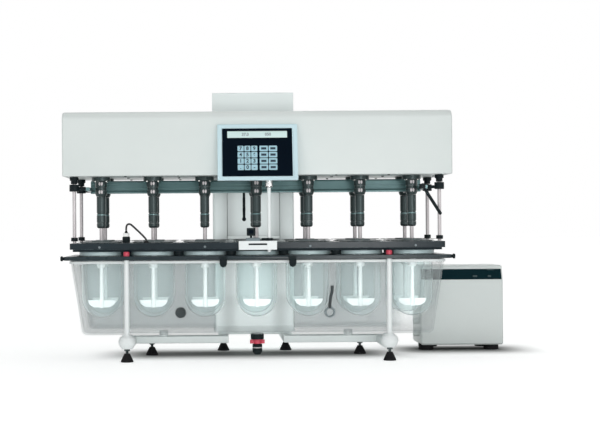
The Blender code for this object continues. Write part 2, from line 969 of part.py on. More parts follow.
def make_panel():
    _, _, _, length = panel_frame()
    seat = head_front - gap
    outline = [
        (head_front - panel_foot_depth, panel_bottom),
        (head_front - panel_head_depth, panel_top),
        (seat, panel_top),
        (seat, panel_bottom),
    ]
    body = extrusion(outline, -panel_half_width, panel_half_width, "X")
    glass_half = panel_half_width - panel_bezel
    recess = on_panel(
        block((-glass_half, panel_bezel, -panel_recess), (glass_half, length - panel_bezel, overrun))
    )
    piece("control_panel", cut(body, recess), panel_blue)

    centre_x = keypad_centre_shares[0] * glass_half
    centre_y = panel_bezel + keypad_centre_shares[1] * (length - 2 * panel_bezel)
    half_x = ((key_columns - 1) * key_pitch_x + key_width) / 2 + keypad_margin
    half_y = ((key_rows - 1) * key_pitch_y + key_height) / 2 + keypad_margin
    low = -panel_recess + gap
    sheet = block(
        (centre_x - half_x, centre_y - half_y, low),
        (centre_x + half_x, centre_y + half_y, low + keypad_sheet),
    )
    keys = []
    for column in range(key_columns):
        for row in range(key_rows):
            x = centre_x + (column - (key_columns - 1) / 2) * key_pitch_x
            y = centre_y + (row - (key_rows - 1) / 2) * key_pitch_y
            keys.append(
                block(
                    (x - key_width / 2, y - key_height / 2, low + keypad_sheet / 2),
                    (x + key_width / 2, y + key_height / 2, low + keypad_sheet + key_rise),
                )
            )
    piece("keypad", on_panel(fused(sheet, together(*keys))), key_blue)


def make_guide_rods():
    collar_top = plate_top + rod_collar_height
    top = head_bottom - gap
    neck_bottom = top - rod_knob_height
    mesh = turned(
        [
            (0, plate_top + gap),
            (rod_collar_radius, plate_top + gap),
            (rod_collar_radius, collar_top),
            (rod_radius, collar_top),
            (rod_radius, neck_bottom),
            (rod_neck_radius, neck_bottom),
            (rod_knob_radius, neck_bottom + rod_knob_height * rod_knob_round_share),
            (rod_knob_radius, top),
            (0, top),
        ],
        housing_sides,
    )
    for end, side in (("left", -1), ("right", 1)):
        for place, row in (("front", -1), ("rear", 1)):
            piece(f"guide_rod_{place}_{end}", mesh, steel, (side * rod_x, row * rod_y, 0))


def make_manifold():
    lip = beam_half_thickness + beam_lip
    outline = [
        (-lip, beam_bottom),
        (lip, beam_bottom),
        (lip, beam_bottom + beam_lip),
        (beam_half_thickness, beam_bottom + 2 * beam_lip),
        (beam_half_thickness, beam_top - beam_lip),
        (beam_half_thickness - beam_lip, beam_top),
        (beam_lip - beam_half_thickness, beam_top),
        (-beam_half_thickness, beam_top - beam_lip),
        (-beam_half_thickness, beam_bottom + 2 * beam_lip),
        (-lip, beam_bottom + beam_lip),
    ]
    beam = extrusion(outline, -beam_half_length, beam_half_length, "X")
    middle_z = yoke_bottom + yoke_height / 2
    yoke_top = yoke_bottom + yoke_height
    link = turned(rod_profile(link_radius, 0, rod_x - beam_half_length), housing_sides)
    link.transform(Matrix.Rotation(quarter_turn, 4, "Y"))
    sleeve = turned(
        rod_profile(sleeve_radius, sleeve_bottom, sleeve_bottom + sleeve_height), housing_sides
    )
    bore = turned(
        rod_profile(rod_radius + gap, sleeve_bottom - overrun, sleeve_bottom + sleeve_height + overrun),
        housing_sides,
    )
    pin = turned(rod_profile(lever_pin_radius, lever_y - lever_boss_radius, -rod_y), housing_sides)
    yokes = []
    links = []
    sleeves = []
    bores = []
    for side in (-1, 1):
        yokes.append(
            block(
                (side * beam_half_length - yoke_width / 2, -rod_y - yoke_width / 2, yoke_bottom),
                (side * beam_half_length + yoke_width / 2, rod_y + yoke_width / 2, yoke_top),
            )
        )
        for row in (-1, 1):
            arm = link.copy()
            if side < 0:
                arm.transform(Matrix.Rotation(math.pi, 4, "Z"))
            links.append(shifted(arm, side * beam_half_length, row * rod_y, middle_z))
            sleeves.append(shifted(sleeve, side * rod_x, row * rod_y))
            bores.append(shifted(bore, side * rod_x, row * rod_y))
    pin.transform(Matrix.Rotation(-quarter_turn, 4, "X"))
    pin = shifted(pin, lever_x, 0, lever_z)
    arm_block = block(
        (lever_x - lever_block_half_width, -rod_y - yoke_width / 2 + gap, yoke_bottom + gap),
        (beam_half_length, -rod_y + yoke_width / 2 - gap, yoke_bottom + yoke_height + lever_pin_radius),
    )
    rod_top = beam_bottom + overrun
    ball_centre = handle_bottom + handle_ball_radius
    ball = bowl_arc(handle_ball_radius, ball_centre, handle_ball_rings)
    handle = turned(
        ball + [(handle_radius, ball_centre + handle_ball_radius), (handle_radius, rod_top), (0, rod_top)],
        housing_sides,
    )
    body = fused(beam, together(*yokes), together(*links), together(*sleeves))
    body = cut(body, together(*bores))
    body = fused(body, arm_block, pin, shifted(handle, handle_x, 0))
    piece("manifold_beam", body, teal_metal)

    rod = turned(
        [
            (0, 0),
            (lever_radius, 0),
            (lever_radius, -lever_length + lever_radius),
            (lever_radius * lever_tip_share, -lever_length),
            (0, -lever_length),
        ],
        housing_sides,
    )
    rod.transform(Matrix.Rotation(-lever_angle, 4, "Y"))
    boss = turned(rod_profile(lever_boss_radius, -lever_radius, lever_radius), round_sides)
    pin_hole = turning_hole(lever_pin_radius, housing_sides)
    hole = turned(
        rod_profile(pin_hole, -lever_radius - overrun, lever_radius + overrun), housing_sides
    )
    for mesh in (boss, hole):
        mesh.transform(Matrix.Rotation(quarter_turn, 4, "X"))
    piece("manifold_lever", cut(fused(rod, boss), hole), black_plastic, (lever_x, lever_y, lever_z))


def make_sampling_pipe():
    top = head_bottom - gap
    pipe = turned(
        [
            (0, pipe_tip),
            (pipe_radius, pipe_tip),
            (pipe_radius, pipe_fitting_bottom),
            (pipe_fitting_radius, pipe_fitting_bottom),
            (pipe_fitting_radius, top),
            (0, top),
        ],
        housing_sides,
    )
    piece("sampling_pipe", pipe, white_plastic, (pipe_x, pipe_y, 0))

    back = -plate_half_depth - gap
    front = back - holder_depth
    shelf = plate_top + gap
    shelf_top = shelf + holder_top_thickness
    lip = block((-holder_half_width, front, holder_bottom), (holder_half_width, back, shelf_top))
    hook = block(
        (-holder_half_width, back - overrun, shelf),
        (holder_half_width, -plate_half_depth + holder_hook_depth, shelf_top),
    )
    wedge_low = holder_wedge_x - holder_wedge_half_width
    wedge_high = holder_wedge_x + holder_wedge_half_width
    wedge = extrusion(
        [
            (front, shelf_top - gap),
            (back, shelf_top - gap),
            (back, shelf_top + holder_wedge_height),
            (front + holder_wedge_height, shelf_top + holder_wedge_height),
        ],
        wedge_low,
        wedge_high,
        "X",
    )
    box_middle_x = sensor_box_left + sensor_box_width / 2
    box_middle_y = (front + back) / 2
    stem = block(
        (box_middle_x - sensor_stem_half, box_middle_y - sensor_stem_half, shelf_top),
        (box_middle_x + sensor_stem_half, box_middle_y + sensor_stem_half, sensor_box_bottom + overrun),
    )
    head = block(
        (sensor_box_left, box_middle_y - sensor_box_depth / 2, sensor_box_bottom),
        (sensor_box_left + sensor_box_width, box_middle_y + sensor_box_depth / 2,
         sensor_box_bottom + sensor_box_height),
    )
    holder = fused(lip, hook, wedge, stem, head)
    groove = block(
        (-holder_slot_half_width, front - overrun, shelf - holder_slot_height),
        (holder_slot_half_width, front + holder_slot_height, shelf),
    )
    bore = turned(
        rod_profile(pipe_radius + gap, holder_bottom - overrun, shelf_top + holder_wedge_height + overrun),
        housing_sides,
    )
    piece("pipe_holder", cut(holder, groove, shifted(bore, pipe_x, pipe_y)), white_plastic)

    clamp_low = shelf_top + gap
    ring = turned(rod_profile(clamp_ring_radius, clamp_low, clamp_low + clamp_height), housing_sides)
    handle = block(
        (-clamp_lever_length, -clamp_lever_half_width, clamp_low),
        (0, clamp_lever_half_width, clamp_low + clamp_height),
    )
    pipe_hole = turning_hole(pipe_radius + clamp_bore_clearance, housing_sides)
    hole = turned(
        rod_profile(pipe_hole, clamp_low - overrun, clamp_low + clamp_height + overrun), housing_sides
    )
    piece("pipe_clamp", cut(fused(ring, handle), hole), black_plastic, (pipe_x, pipe_y, 0))


def make_probe():
    body_top = plate_top + gap + probe_body_height
    nut_top = body_top + probe_nut_height
    mesh = turned(
        [
            (0, plate_top + gap),
            (probe_body_radius, plate_top + gap),
            (probe_body_radius, body_top),
            (probe_nut_radius, body_top),
            (probe_nut_radius, nut_top),
            (probe_neck_radius, nut_top),
            (probe_neck_radius, nut_top + probe_neck_height),
            (0, nut_top + probe_neck_height),
        ],
        housing_sides,
    )
    piece("temperature_probe", mesh, black_plastic, (probe_x, probe_y, 0))

    curve = bpy.data.curves.new("probe_cable", "CURVE")
    curve.dimensions = "3D"
    curve.bevel_depth = cable_radius
    curve.bevel_resolution = 2
    curve.use_fill_caps = True
    spline = curve.splines.new("POLY")
    spline.points.add(len(cable_points[1:]))
    for point, place in zip(spline.points, cable_points):
        point.co = Vector(place).to_4d()
    cable = bpy.data.objects.new("probe_cable", curve)
    curve.materials.append(black_plastic)
    cable.parent = root
    bpy.context.scene.collection.objects.link(cable)


def make_turn_buttons():
    pivot_z = bath_top + gap / 2 + rim_thickness / 2
    across, above = (share * button_half_width for share in button_round_shares)
    shoulder = button_half_width - button_drop
    head = button_half_width * button_top_share
    plate = extrusion(
        [
            (-button_half_width, shoulder),
            (-across, above - button_drop),
            (0, -button_drop),
            (across, above - button_drop),
            (button_half_width, shoulder),
            (button_half_width, head),
            (-button_half_width, head),
        ],
        -button_thickness - gap,
        -gap,
        "Y",
    )
    pin = turned(rod_profile(button_pin_radius, -gap * 2, button_pin_length), housing_sides)
    pin.transform(Matrix.Rotation(-quarter_turn, 4, "X"))
    mesh = fused(plate, pin)
    for side, word in ((-1, "left"), (1, "right")):
        piece(f"turn_button_{word}", mesh, black_plastic, (side * button_x, -rim_half_depth, pivot_z))


def make_drain_valve():
    top = bath_bottom - gap
    body = turned(
        [
            (0, top),
            (valve_body_radius, top),
            (valve_body_radius, valve_body_bottom),
            (valve_stem_radius, valve_body_bottom),
            (valve_stem_radius, valve_handle_bottom - gap),
            (valve_flare_radius, valve_handle_bottom - gap),
            (valve_flare_radius, valve_seat),
            (valve_stem_radius, valve_spout_bottom),
            (0, valve_spout_bottom),
        ],
        round_sides,
    )
    bore = turned(rod_profile(valve_spout_bore, valve_spout_bottom - overrun, top + overrun), housing_sides)
    piece("drain_valve", cut(body, bore), black_plastic, (0, valve_y, 0))

    ring_low = valve_handle_bottom
    ring_high = valve_body_bottom - gap
    ring = turned(rod_profile(valve_handle_radius, ring_low, ring_high), round_sides)
    wings = block(
        (-valve_wing_length, -valve_wing_half_width, ring_low + gap),
        (valve_wing_length, valve_wing_half_width, ring_high - gap),
    )
    stem_hole = turning_hole(valve_stem_radius, round_sides)
    hole = turned(rod_profile(stem_hole, ring_low - overrun, ring_high + overrun), round_sides)
    piece("drain_handle", cut(fused(ring, wings), hole), red_plastic, (0, valve_y, 0))


def make_circulator():
    outline = [
        (circulator_front, circulator_bottom),
        (circulator_front, fascia_bottom),
        (circulator_front + fascia_lean, fascia_top),
        (circulator_front + fascia_lean, circulator_top),
        (circulator_back, circulator_top),
        (circulator_back, circulator_bottom),
    ]
    bm = bmesh.new()
    bm.from_mesh(extrusion(outline, circulator_left, circulator_right, "X"))
    bmesh.ops.bevel(
        bm,
        geom=bm.edges[:],
        offset=circulator_bevel,
        segments=1,
        profile=round_profile_share,
        affect="EDGES",
    )
    body = mesh_from(bm)
    foot = turned(rod_profile(circulator_foot_radius, 0, circulator_bottom + overrun), housing_sides)
    feet = []
    for x in (circulator_left + circulator_foot_inset, circulator_right - circulator_foot_inset):
        for y in (circulator_front + circulator_foot_inset, circulator_back - circulator_foot_inset):
            feet.append(shifted(foot, x, y))
    port = turned(rod_profile(port_radius, -overrun, port_length), housing_sides)
    hole = turned(rod_profile(port_bore, -overrun, port_length + overrun), housing_sides)
    for mesh in (port, hole):
        mesh.transform(Matrix.Rotation(-quarter_turn, 4, "Y"))
    ports = [shifted(port, circulator_left, port_y, z) for z in port_heights]
    holes = [shifted(hole, circulator_left, port_y, z) for z in port_heights]
    inlet_x = (circulator_left + circulator_right) / 2
    inlet = block(
        (inlet_x - inlet_width / 2, circulator_back - inlet_depth, inlet_z - inlet_height / 2),
        (inlet_x + inlet_width / 2, circulator_back + overrun, inlet_z + inlet_height / 2),
    )
    body = fused(body, together(*feet), together(*ports))
    body = cut(body, together(*holes), inlet)
    slope = math.hypot(fascia_lean, fascia_top - fascia_bottom)
    tilt = math.atan2(fascia_lean, fascia_top - fascia_bottom)
    inner = (circulator_left + fascia_margin, circulator_right - fascia_margin)
    pocket = block(
        (inner[0] - gap, -overrun, fascia_margin / 2 - gap),
        (inner[1] + gap, fascia_thickness / 2, slope - fascia_margin / 2 + gap),
    )
    strip = block(
        (inner[0], -fascia_thickness / 2, fascia_margin / 2),
        (inner[1], fascia_thickness / 2 - gap, slope - fascia_margin / 2),
    )
    for mesh in (pocket, strip):
        mesh.transform(
            Matrix.Translation((0, circulator_front, fascia_bottom)) @ Matrix.Rotation(-tilt, 4, "X")
        )
    piece("circulator_case", cut(body, pocket), pale_paint)
    piece("circulator_fascia", strip, dark_plate)


make_vessels()
make_vessel_plate()
make_bath()
make_base()
make_column()
make_head()
make_spindles()
make_drive()
make_panel()
make_guide_rods()
make_manifold()
make_sampling_pipe()
make_probe()
make_turn_buttons()
make_drain_valve()
make_circulator()
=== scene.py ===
import math

import bmesh
import bpy
from mathutils import Matrix, Vector


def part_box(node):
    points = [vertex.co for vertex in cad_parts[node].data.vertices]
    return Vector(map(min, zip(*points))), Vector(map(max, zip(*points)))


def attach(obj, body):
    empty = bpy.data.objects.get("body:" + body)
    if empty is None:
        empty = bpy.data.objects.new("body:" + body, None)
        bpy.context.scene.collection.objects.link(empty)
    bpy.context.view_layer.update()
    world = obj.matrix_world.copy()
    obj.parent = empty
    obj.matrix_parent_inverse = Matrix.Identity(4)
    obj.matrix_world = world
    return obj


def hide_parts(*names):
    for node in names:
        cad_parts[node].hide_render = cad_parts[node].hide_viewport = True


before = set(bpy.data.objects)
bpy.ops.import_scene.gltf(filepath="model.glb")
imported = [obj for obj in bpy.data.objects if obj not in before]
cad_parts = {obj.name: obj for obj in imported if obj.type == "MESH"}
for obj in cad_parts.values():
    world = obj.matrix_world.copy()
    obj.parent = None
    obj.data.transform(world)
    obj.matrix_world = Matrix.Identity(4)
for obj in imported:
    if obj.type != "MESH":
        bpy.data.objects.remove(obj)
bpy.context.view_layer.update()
print("frame loaded")

# camera: the photograph's viewing angle, from a perspective fit of the head, plate and feet
cameraSettings = {"place": (-0.2169, -3.9025, 0.348), "roll": 0.0072, "lens": 86.34, "sensor": 36.0,
    "shiftX": 0.15, "shiftY": 0.0214}


def newObject(name, data):
    thing = bpy.data.objects.new(name, data)
    bpy.context.scene.collection.objects.link(thing)
    return thing


def makeCamera(look):
    data = bpy.data.cameras.new("testerCamera")
    data.lens = look["lens"]
    data.sensor_width = look["sensor"]
    data.shift_x = look["shiftX"]
    data.shift_y = look["shiftY"]
    data.clip_end = 60
    camera = newObject("testerCamera", data)
    turn = Matrix.Rotation(look["roll"], 4, "Y") @ Matrix.Rotation(math.pi / 2, 4, "X")
    camera.matrix_world = Matrix.Translation(look["place"]) @ turn
    bpy.context.scene.camera = camera


makeCamera(cameraSettings)
bpy.context.scene.view_settings.view_transform = "Standard"
print("camera made")


def nodeLow(node):
    return Vector(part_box(node)[0])


def nodeHigh(node):
    return Vector(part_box(node)[1])


def nodeMiddle(node):
    return (nodeLow(node) + nodeHigh(node)) / 2


def underNode(node):
    middle = nodeMiddle(node)
    return Vector((middle.x, middle.y, 0))


# the point on the floor under the middle of the vessels
origin = Vector((underNode("drain_valve").x, underNode("bath_tank").y, 0))


# shader nodes: a value that is a socket is linked, any other is set
def feed(tree, node, entries):
    for label, value in entries.items():
        if isinstance(value, bpy.types.NodeSocket):
            tree.links.new(value, node.inputs[label])
        else:
            node.inputs[label].default_value = value
    return node


def addNode(tree, kind, entries=None, **settings):
    node = tree.nodes.new(f"ShaderNode{kind}")
    for word, value in settings.items():
        setattr(node, word, value)
    return feed(tree, node, entries or {})


def calculated(tree, operation, *values):
    return addNode(tree, "Math", dict(enumerate(values)), operation=operation).outputs[0]


def ranged(tree, value, low=0.0, high=1.0, lowResult=0.0, highResult=1.0, easing="LINEAR"):
    entries = {"Value": value, "From Min": low, "From Max": high, "To Min": lowResult, "To Max": highResult}
    return addNode(tree, "MapRange", entries, interpolation_type=easing).outputs["Result"]


# node groups shared by the finishes
def newGroup(name, entries, exits):
    group = bpy.data.node_groups.new(name, "ShaderNodeTree")
    for label, kind, value in entries:
        socket = group.interface.new_socket(name=label, in_out="INPUT", socket_type=f"NodeSocket{kind}")
        if value is not None:
            socket.default_value = value
    for label, kind in exits:
        group.interface.new_socket(name=label, in_out="OUTPUT", socket_type=f"NodeSocket{kind}")
    return group, group.nodes.new("NodeGroupInput").outputs, group.nodes.new("NodeGroupOutput")


def newLayer(name, second, colour, numbers):
    entries = [("Vector", "Vector", None), ("Colour", "Color", (1, 1, 1, 1)), (second, "Color", colour)]
    entries += [(label, "Float", value) for label, value in numbers.items()]
    return newGroup(name, entries, [("Colour", "Color")])


def laidOver(group, entry, leave, second, *covers):
    share = covers[0]
    for cover in (*covers[1:], entry["Amount"]):
        share = calculated(group, "MULTIPLY", share, cover)
    colours = {"Factor": share, "A": entry["Colour"], "B": entry[second]}
    feed(group, leave, {"Colour": addNode(group, "Mix", colours, data_type="RGBA").outputs["Result"]})
    return group


def noiseLevel(group, vector, scale, detail):
    return addNode(group, "TexNoise", {"Vector": vector, "Scale": scale, "Detail": detail}).outputs["Fac"]


def makeMottleGroup(look):
    group, entry, leave = newLayer("toneMottle", "Second", (1, 1, 1, 1), {"Scale": 8.0, "Amount": 0.5})
    noise = noiseLevel(group, entry["Vector"], entry["Scale"], look["detail"])
    return laidOver(group, entry, leave, "Second", ranged(group, noise, look["low"], look["high"]))


def makeGrainGroup(look):
    entries = [("Vector", "Vector", None), ("Scale", "Float", 900.0), ("Roughness", "Float", 0.4),
        ("Spread", "Float", 0.1)]
    group, entry, leave = newGroup("fineGrain", entries, [("Height", "Float"), ("Roughness", "Float")])
    fine = noiseLevel(group, entry["Vector"], entry["Scale"], look["fineDetail"])
    wide = noiseLevel(group, entry["Vector"], look["wideScale"], look["wideDetail"])
    centred = calculated(group, "SUBTRACT", wide, 0.5)
    spread = calculated(group, "MULTIPLY_ADD", centred, entry["Spread"], entry["Roughness"])
    feed(group, leave, {"Height": fine, "Roughness": spread})
    return group


def makeWearGroup(look):
    group, entry, leave = newLayer("edgeWear", "Worn", (1, 1, 1, 1), {"Amount": 0.4})
    soft = addNode(group, "Bevel", {"Radius": look["radius"]}, samples=look["samples"])
    flat = addNode(group, "NewGeometry")
    normals = {0: soft.outputs["Normal"], 1: flat.outputs["Normal"]}
    likeness = addNode(group, "VectorMath", normals, operation="DOT_PRODUCT")
    edge = ranged(group, likeness.outputs["Value"], look["flat"], look["edge"])
    shadowPatches = noiseLevel(group, entry["Vector"], look["scale"], look["detail"])
    return laidOver(group, entry, leave, "Worn", edge, ranged(group, shadowPatches, look["low"], look["high"]))


def makeDustGroup(look):
    group, entry, leave = newLayer("settledDust", "Dust", look["colour"], {"Amount": 0.2})
    parts = addNode(group, "SeparateXYZ", {0: addNode(group, "NewGeometry").outputs["Normal"]})
    upward = ranged(group, parts.outputs["Z"], look["slope"])
    noise = noiseLevel(group, entry["Vector"], look["scale"], look["detail"])
    return laidOver(group, entry, leave, "Dust", upward, noise)


groupSettings = {
    "mottle": {"detail": 3, "low": 0.35, "high": 0.7},
    "grain": {"fineDetail": 2, "wideScale": 22, "wideDetail": 4},
    "wear": {"radius": 0.0012, "samples": 4, "flat": 0.995, "edge": 0.93, "scale": 60, "detail": 5,
        "low": 0.42, "high": 0.62},
    "dust": {"colour": (0.5, 0.5, 0.48, 1), "slope": 0.6, "scale": 35, "detail": 6},
}
mottleGroup = makeMottleGroup(groupSettings["mottle"])
grainGroup = makeGrainGroup(groupSettings["grain"])
wearGroup = makeWearGroup(groupSettings["wear"])
dustGroup = makeDustGroup(groupSettings["dust"])

# one entry per finish, over the plain one; stretch squeezes the grain along an axis, as in turned metal
plainFinish = {"mottle": 0.5, "mottleScale": 9.0, "roughness": 0.5, "spread": 0.1, "metallic": 0.0,
    "specular": 0.5, "grain": 700, "depth": 0.05, "stretch": (1, 1, 1)}
finishSettings = {
    "palePaint": {"colour": (0.67, 0.72, 0.705), "second": (0.63, 0.685, 0.672), "roughness": 0.42,
        "spread": 0.12, "grain": 1100, "worn": (0.78, 0.8, 0.79), "wear": 0.5, "dust": 0.06},
    "darkPlate": {"colour": (0.005, 0.014, 0.02), "second": (0.01, 0.024, 0.032), "mottle": 0.6,
        "roughness": 0.25, "specular": 0.26, "depth": 0.02, "worn": (0.16, 0.21, 0.23), "wear": 0.7,
        "dust": 0.1},
    "blackPlastic": {"colour": (0.004, 0.009, 0.011), "second": (0.009, 0.015, 0.017), "roughness": 0.45,
        "specular": 0.12, "spread": 0.15, "grain": 1500, "depth": 0.12, "worn": (0.09, 0.1, 0.1),
        "wear": 0.6, "dust": 0.12},
    "darkAnodised": {"colour": (0.03, 0.046, 0.047), "second": (0.05, 0.07, 0.071), "roughness": 0.3,
        "spread": 0.14, "metallic": 0.35, "specular": 0.35, "grain": 240, "stretch": (1, 1, 14),
        "worn": (0.42, 0.46, 0.46), "wear": 0.7},
    "tealMetal": {"colour": (0.1, 0.19, 0.195), "second": (0.15, 0.25, 0.255), "mottle": 0.7,
        "roughness": 0.28, "metallic": 0.35, "grain": 260, "stretch": (0.06, 4, 4),
        "worn": (0.5, 0.56, 0.57), "wear": 0.7},
    "groundSteel": {"colour": (0.66, 0.66, 0.63), "second": (0.56, 0.57, 0.55), "roughness": 0.22,
        "spread": 0.14, "metallic": 1.0, "grain": 260, "depth": 0.04, "stretch": (1, 1, 12)},
    "brightNickel": {"colour": (0.78, 0.79, 0.78), "second": (0.66, 0.68, 0.68), "mottle": 0.4,
        "roughness": 0.14, "metallic": 1.0, "grain": 300, "depth": 0.02},
    "whitePlastic": {"colour": (0.8, 0.84, 0.84), "second": (0.74, 0.79, 0.79), "mottle": 0.4,
        "roughness": 0.34, "spread": 0.12, "grain": 1300, "worn": (0.86, 0.88, 0.88), "wear": 0.3},
    "redPlastic": {"colour": (0.62, 0.05, 0.095), "second": (0.5, 0.035, 0.07), "roughness": 0.34,
        "spread": 0.12, "grain": 1300, "depth": 0.06, "worn": (0.72, 0.16, 0.2), "wear": 0.5},
    "bezelBlue": {"colour": (0.57, 0.74, 0.79), "second": (0.5, 0.68, 0.74), "mottle": 0.4,
        "roughness": 0.38, "grain": 1400, "worn": (0.7, 0.82, 0.85), "wear": 0.5},
    "panelGlass": {"colour": (0.001, 0.004, 0.009), "second": (0.002, 0.007, 0.014), "mottle": 0.4,
        "roughness": 0.16, "specular": 0.03, "spread": 0.08, "grain": 300, "depth": 0.01},
    "keyMembrane": {"colour": (0.36, 0.57, 0.65), "second": (0.31, 0.52, 0.6), "mottle": 0.4,
        "roughness": 0.48, "grain": 2200, "depth": 0.06, "worn": (0.5, 0.66, 0.76), "wear": 0.4},
    "displayGlass": {"colour": (0.64, 0.8, 0.78), "second": (0.56, 0.73, 0.72), "roughness": 0.16,
        "spread": 0.08, "grain": 300, "depth": 0.01},
    "inkNavy": {"colour": (0.004, 0.022, 0.04), "second": (0.008, 0.03, 0.052), "mottle": 0.4,
        "grain": 1500, "depth": 0.03},
    "softRubber": {"colour": (0.006, 0.006, 0.007), "second": (0.012, 0.012, 0.013), "mottle": 0.6,
        "roughness": 0.72, "specular": 0.15, "spread": 0.14, "grain": 900, "depth": 0.25,
        "worn": (0.06, 0.06, 0.06), "wear": 0.5, "dust": 0.2},
    "cableJacket": {"colour": (0.014, 0.015, 0.016), "second": (0.024, 0.025, 0.026), "spread": 0.12,
        "grain": 1400, "depth": 0.1},
    "beltRubber": {"colour": (0.03, 0.032, 0.032), "second": (0.05, 0.052, 0.052), "mottle": 0.6,
        "roughness": 0.66, "spread": 0.12, "grain": 500, "depth": 0.3},
    "rimPlastic": {"colour": (0.002, 0.012, 0.017), "second": (0.005, 0.019, 0.025), "roughness": 0.28,
        "specular": 0.36, "grain": 600, "depth": 0.03},
    # painted light: brighter copies of the pale paint for the column, the mast covers and the base frame,
    # which get less lamp light than the head
    "litColumnPaint": {"colour": (0.745, 0.81, 0.805), "second": (0.7, 0.77, 0.768)},
    "litPalePaint": {"colour": (0.84, 0.905, 0.895), "second": (0.82, 0.885, 0.875)},
    "collarPlastic": {"colour": (0.58, 0.74, 0.76), "second": (0.66, 0.8, 0.82), "roughness": 0.35,
        "grain": 500, "depth": 0.03},
    "satinSteel": {"colour": (0.52, 0.49, 0.5), "second": (0.62, 0.59, 0.6), "roughness": 0.46,
        "metallic": 0.35, "grain": 900, "depth": 0.04},
    "greyPlastic": {"colour": (0.22, 0.27, 0.29), "second": (0.29, 0.34, 0.36), "roughness": 0.42},
    "fasciaDark": {"colour": (0.002, 0.017, 0.022), "second": (0.005, 0.024, 0.03), "roughness": 0.3,
        "spread": 0.12, "specular": 0.04, "grain": 900, "depth": 0.03},
    "fasciaInk": {"colour": (0.05, 0.08, 0.085), "second": (0.07, 0.105, 0.11), "roughness": 0.45,
        "specular": 0.1, "grain": 900, "depth": 0.03},
    "lidPlastic": {"colour": (0.17, 0.2, 0.205), "second": (0.21, 0.24, 0.245), "roughness": 0.38,
        "specular": 0.25, "spread": 0.12, "grain": 1300, "worn": (0.22, 0.27, 0.28), "wear": 0.6,
        "dust": 0.1},
}


def newMaterial(name):
    material = bpy.data.materials.new(name)
    material.use_nodes = True
    tree = material.node_tree
    return material, tree, tree.nodes["Principled BSDF"], addNode(tree, "TexCoord").outputs["Object"]


def groupNode(tree, group, values):
    return addNode(tree, "Group", values, node_tree=group)


def feedTone(tree, place, look, scale):
    values = {"Vector": place, "Colour": (*look["colour"], 1), "Second": (*look["second"], 1),
        "Amount": look["mottle"], "Scale": scale}
    return groupNode(tree, mottleGroup, values).outputs["Colour"]


def feedGrain(tree, shader, vector, look):
    values = {"Vector": vector, "Scale": look["grain"], "Roughness": look["roughness"],
        "Spread": look["spread"]}
    grain = groupNode(tree, grainGroup, values).outputs
    bump = addNode(tree, "Bump", {"Strength": look["depth"], "Distance": 0.001, "Height": grain["Height"]})
    feed(tree, shader, {"Roughness": grain["Roughness"], "Normal": bump.outputs["Normal"]})


def makeFinish(name):
    look = {**plainFinish, **finishSettings[name]}
    material, tree, shader, place = newMaterial(name)
    colour = feedTone(tree, place, look, look["mottleScale"])
    if "wear" in look:
        values = {"Vector": place, "Colour": colour, "Worn": (*look["worn"], 1), "Amount": look["wear"]}
        colour = groupNode(tree, wearGroup, values).outputs["Colour"]
    if "dust" in look:
        values = {"Vector": place, "Colour": colour, "Amount": look["dust"]}
        colour = groupNode(tree, dustGroup, values).outputs["Colour"]
    feed(tree, shader, {"Base Color": colour, "Metallic": look["metallic"],
        "Specular IOR Level": look["specular"]})
    along = addNode(tree, "Mapping", {"Vector": place, "Scale": look["stretch"]})
    feedGrain(tree, shader, along.outputs["Vector"], look)
    return material


finish = {name: makeFinish(name) for name in finishSettings}

# painted shade: soft darker vertical bands down the front of the column either side of its seams; parts
# further back keep the plain paint
seamShadeSettings = {"half": 0.0720, "reach": 0.034, "dark": 0.70, "depth": 0.040}


def paintSeamShade(material, look):
    tree = material.node_tree
    shader = tree.nodes["Principled BSDF"]
    paint = shader.inputs["Base Color"].links[0].from_socket
    parts = addNode(tree, "SeparateXYZ", {0: addNode(tree, "TexCoord").outputs["Object"]}).outputs
    level = parts["X"]
    for amount in (origin.x, look["half"]):
        level = calculated(tree, "ABSOLUTE", calculated(tree, "SUBTRACT", level, amount))
    fade = ranged(tree, level, 0.0, look["reach"], look["dark"], 1.0, "SMOOTHSTEP")
    behind = calculated(tree, "GREATER_THAN", parts["Y"], nodeLow("column_housing").y + look["depth"])
    lit = calculated(tree, "MAXIMUM", fade, behind)
    toned = addNode(tree, "VectorMath", {0: paint, "Scale": lit}, operation="SCALE")
    feed(tree, shader, {"Base Color": toned.outputs["Vector"]})


paintSeamShade(finish["litColumnPaint"], seamShadeSettings)

clearSettings = {
    "vesselGlass": {"colour": (0.93, 0.97, 0.97), "ior": 1.045, "clear": 0.955, "grain": 14.0,
        "roughness": 0.02, "spread": 0.03, "depth": 0.02},
    "bathAcrylic": {"colour": (0.36, 0.415, 0.42), "second": (0.43, 0.485, 0.49), "mottle": 0.5,
        "mottleScale": 7.0, "grain": 9.0, "roughness": 0.14, "spread": 0.06, "depth": 0.15,
        "front": 0.07, "rear": 0.56, "frontY": -0.12, "rearY": 0.07,
        "clearHalf": 0.108, "clearFade": 0.004, "clearCover": 0.14, "edgeBlend": 0.25,
        "edgeCover": 0.55, "endLow": 0.36, "endHigh": 0.42, "endCover": 0.35},
}


def makeGlass(name, look):
    material, tree, shader, place = newMaterial(name)
    values = {"Base Color": (*look["colour"], 1), "Transmission Weight": look["clear"], "IOR": look["ior"]}
    feed(tree, shader, values)
    feedGrain(tree, shader, place, look)
    return material


